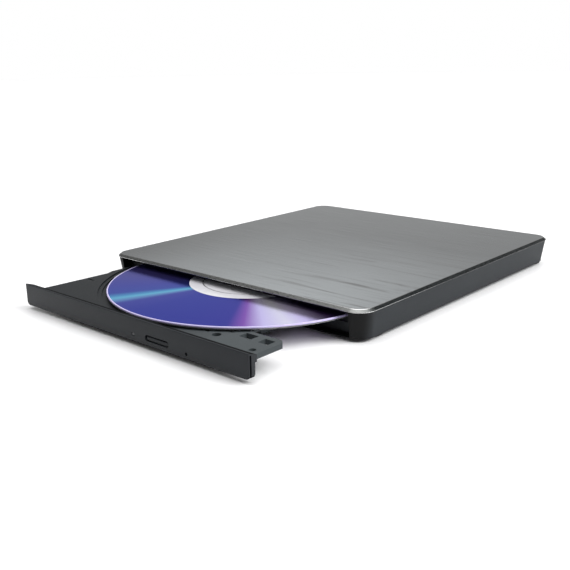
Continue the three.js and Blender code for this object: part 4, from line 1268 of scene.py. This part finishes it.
def ribbonCable(mats):
    # the lower run lies on the pan, a half-round fold rises to the upper run; the strip is one fixed piece,
    # attached to no body
    shape = ribbonShape
    low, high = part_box("flex_cable")
    lowerZ, upperZ, steps = shape["lowerZ"], shape["upperZ"], shape["steps"]
    bend = (upperZ - lowerZ) / 2
    foldY = low.y + bend + shape["thickness"] / 2
    line = [(high.y + (foldY - high.y) * i / steps, lowerZ) for i in range(steps + 1)]
    for i in range(1, 8):
        angle = math.pi * i / 8
        line.append((foldY - bend * math.sin(angle), lowerZ + bend - bend * math.cos(angle)))
    line += [(foldY + shape["upperRun"] * i / steps, upperZ) for i in range(steps + 1)]
    bm = bmesh.new()
    verts = [bm.verts.new((low.x, y, z)) for y, z in line]
    edges = [bm.edges.new(pair) for pair in zip(verts, verts[1:])]
    strip = bmesh.ops.extrude_edge_only(bm, edges=edges)["geom"]
    across = [g for g in strip if isinstance(g, bmesh.types.BMVert)]
    bmesh.ops.translate(bm, verts=across, vec=(shape["width"], 0, 0))
    tailX, tailY = low.x + shape["width"], high.y - shape["tail"]
    tail = ((tailX, tailY), (high.x, tailY), (high.x, high.y), (tailX, high.y))
    bm.faces.new([bm.verts.new((x, y, lowerZ)) for x, y in tail])
    bmesh.ops.remove_doubles(bm, verts=bm.verts, dist=1e-6)
    piece = finishPiece("ribbonCable", bm, [mats["film"]], None, ["flex_cable"])
    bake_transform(piece)
    solid = piece.modifiers.new("thickness", "SOLIDIFY")
    solid.thickness = shape["thickness"]
    solid.offset = 0
    return piece


innerPieces = [
    # node, material, body, slot
    ("drive_chassis", "chassisSteel", "case", "sheet_steel"),
    ("drive_cover", "sheetSteel", "case", "sheet_steel"),
    ("outer_rail_left", "sheetSteel", "case", "sheet_steel"),
    ("outer_rail_right", "sheetSteel", "case", "sheet_steel"),
    ("main_board", "board", "case", "circuit_board"),
    ("main_chip", "connector", "case", "black_plastic"),
    ("drive_sata_plug", "connector", "case", "black_plastic"),
    ("bridge_sata_socket", "connector", "case", "black_plastic"),
    ("bridge_board", "board", "case", "circuit_board"),
    ("bridge_chip", "connector", "case", "black_plastic"),
    ("bridge_capacitor", "polishedSteel", "case", "polished_steel"),
    ("middle_rail_left", "polishedSteel", "rail_left", "polished_steel"),
    ("middle_rail_right", "polishedSteel", "rail_right", "polished_steel"),
    ("traverse_base", "sheetSteel", "tray", "sheet_steel"),
    ("traverse_cover", "blackSteel", "tray", "black_steel"),
    ("spindle_motor", "sheetSteel", "tray", "sheet_steel"),
    ("sled_motor", "sheetSteel", "tray", "sheet_steel"),
    ("tray_board", "board", "tray", "circuit_board"),
    ("eject_switch", "connector", "tray", "black_plastic"),
    ("latch_solenoid", "sheetSteel", "tray", "sheet_steel"),
    ("tray_bottom_plate", "sheetSteel", "tray", "sheet_steel"),
    ("latch_hook", "tray", "latch", "tray_plastic"),
    ("eject_plunger", "polishedSteel", "plunger", "polished_steel"),
    ("pickup_sled", "blackSteel", "sled", "black_steel"),
    ("lens_holder", "connector", "lens", "black_plastic"),
    ("guide_rod_rear", "polishedSteel", "tray", "polished_steel"),
    ("guide_rod_front", "polishedSteel", "tray", "polished_steel"),
    ("objective_lens", "lens", "lens", "lens_glass"),
]
for number in (1, 2, 3):
    innerPieces.append((f"damper_{number}", "rubber", "tray", "rubber"))
    innerPieces.append((f"chuck_claw_{number}", "hub", f"claw_{number}", "black_plastic"))


def innerWorks(mats):
    for node, material, body, slot in innerPieces:
        refine(node, mats[material], body, 0.06 * mm)


addCamera()
addWorld()
addKey()
addFloor()
print("stage set")

mats = makeMaterials(hub)
print("materials made:", len(mats))

topPlate(mats)
lowerShell(mats)
feet(mats)
for end in ("front", "rear"):
    for side in ("left", "right"):
        crossScrew(f"caseScrew_{end}_{side}", f"case_screw_{end}_{side}", "case", "case", mats)
for number in (1, 2, 3, 4):
    crossScrew(f"coverScrew_{number}", f"cover_screw_{number}", "cover", "case", mats)
for number in (1, 2, 3):
    crossScrew(f"damperScrew_{number}", f"damper_screw_{number}", "damper", "tray", mats)
print("case built")

frontBezel(mats)
ejectButton(mats)
lightPipe(mats)
trayPiece(mats)
print("front and tray built")

discPiece(mats)
hubPiece(mats)
print("disc and hub built")

leadScrew(mats)
usbSocket(mats)
ribbonCable(mats)
innerWorks(mats)
print("works built")
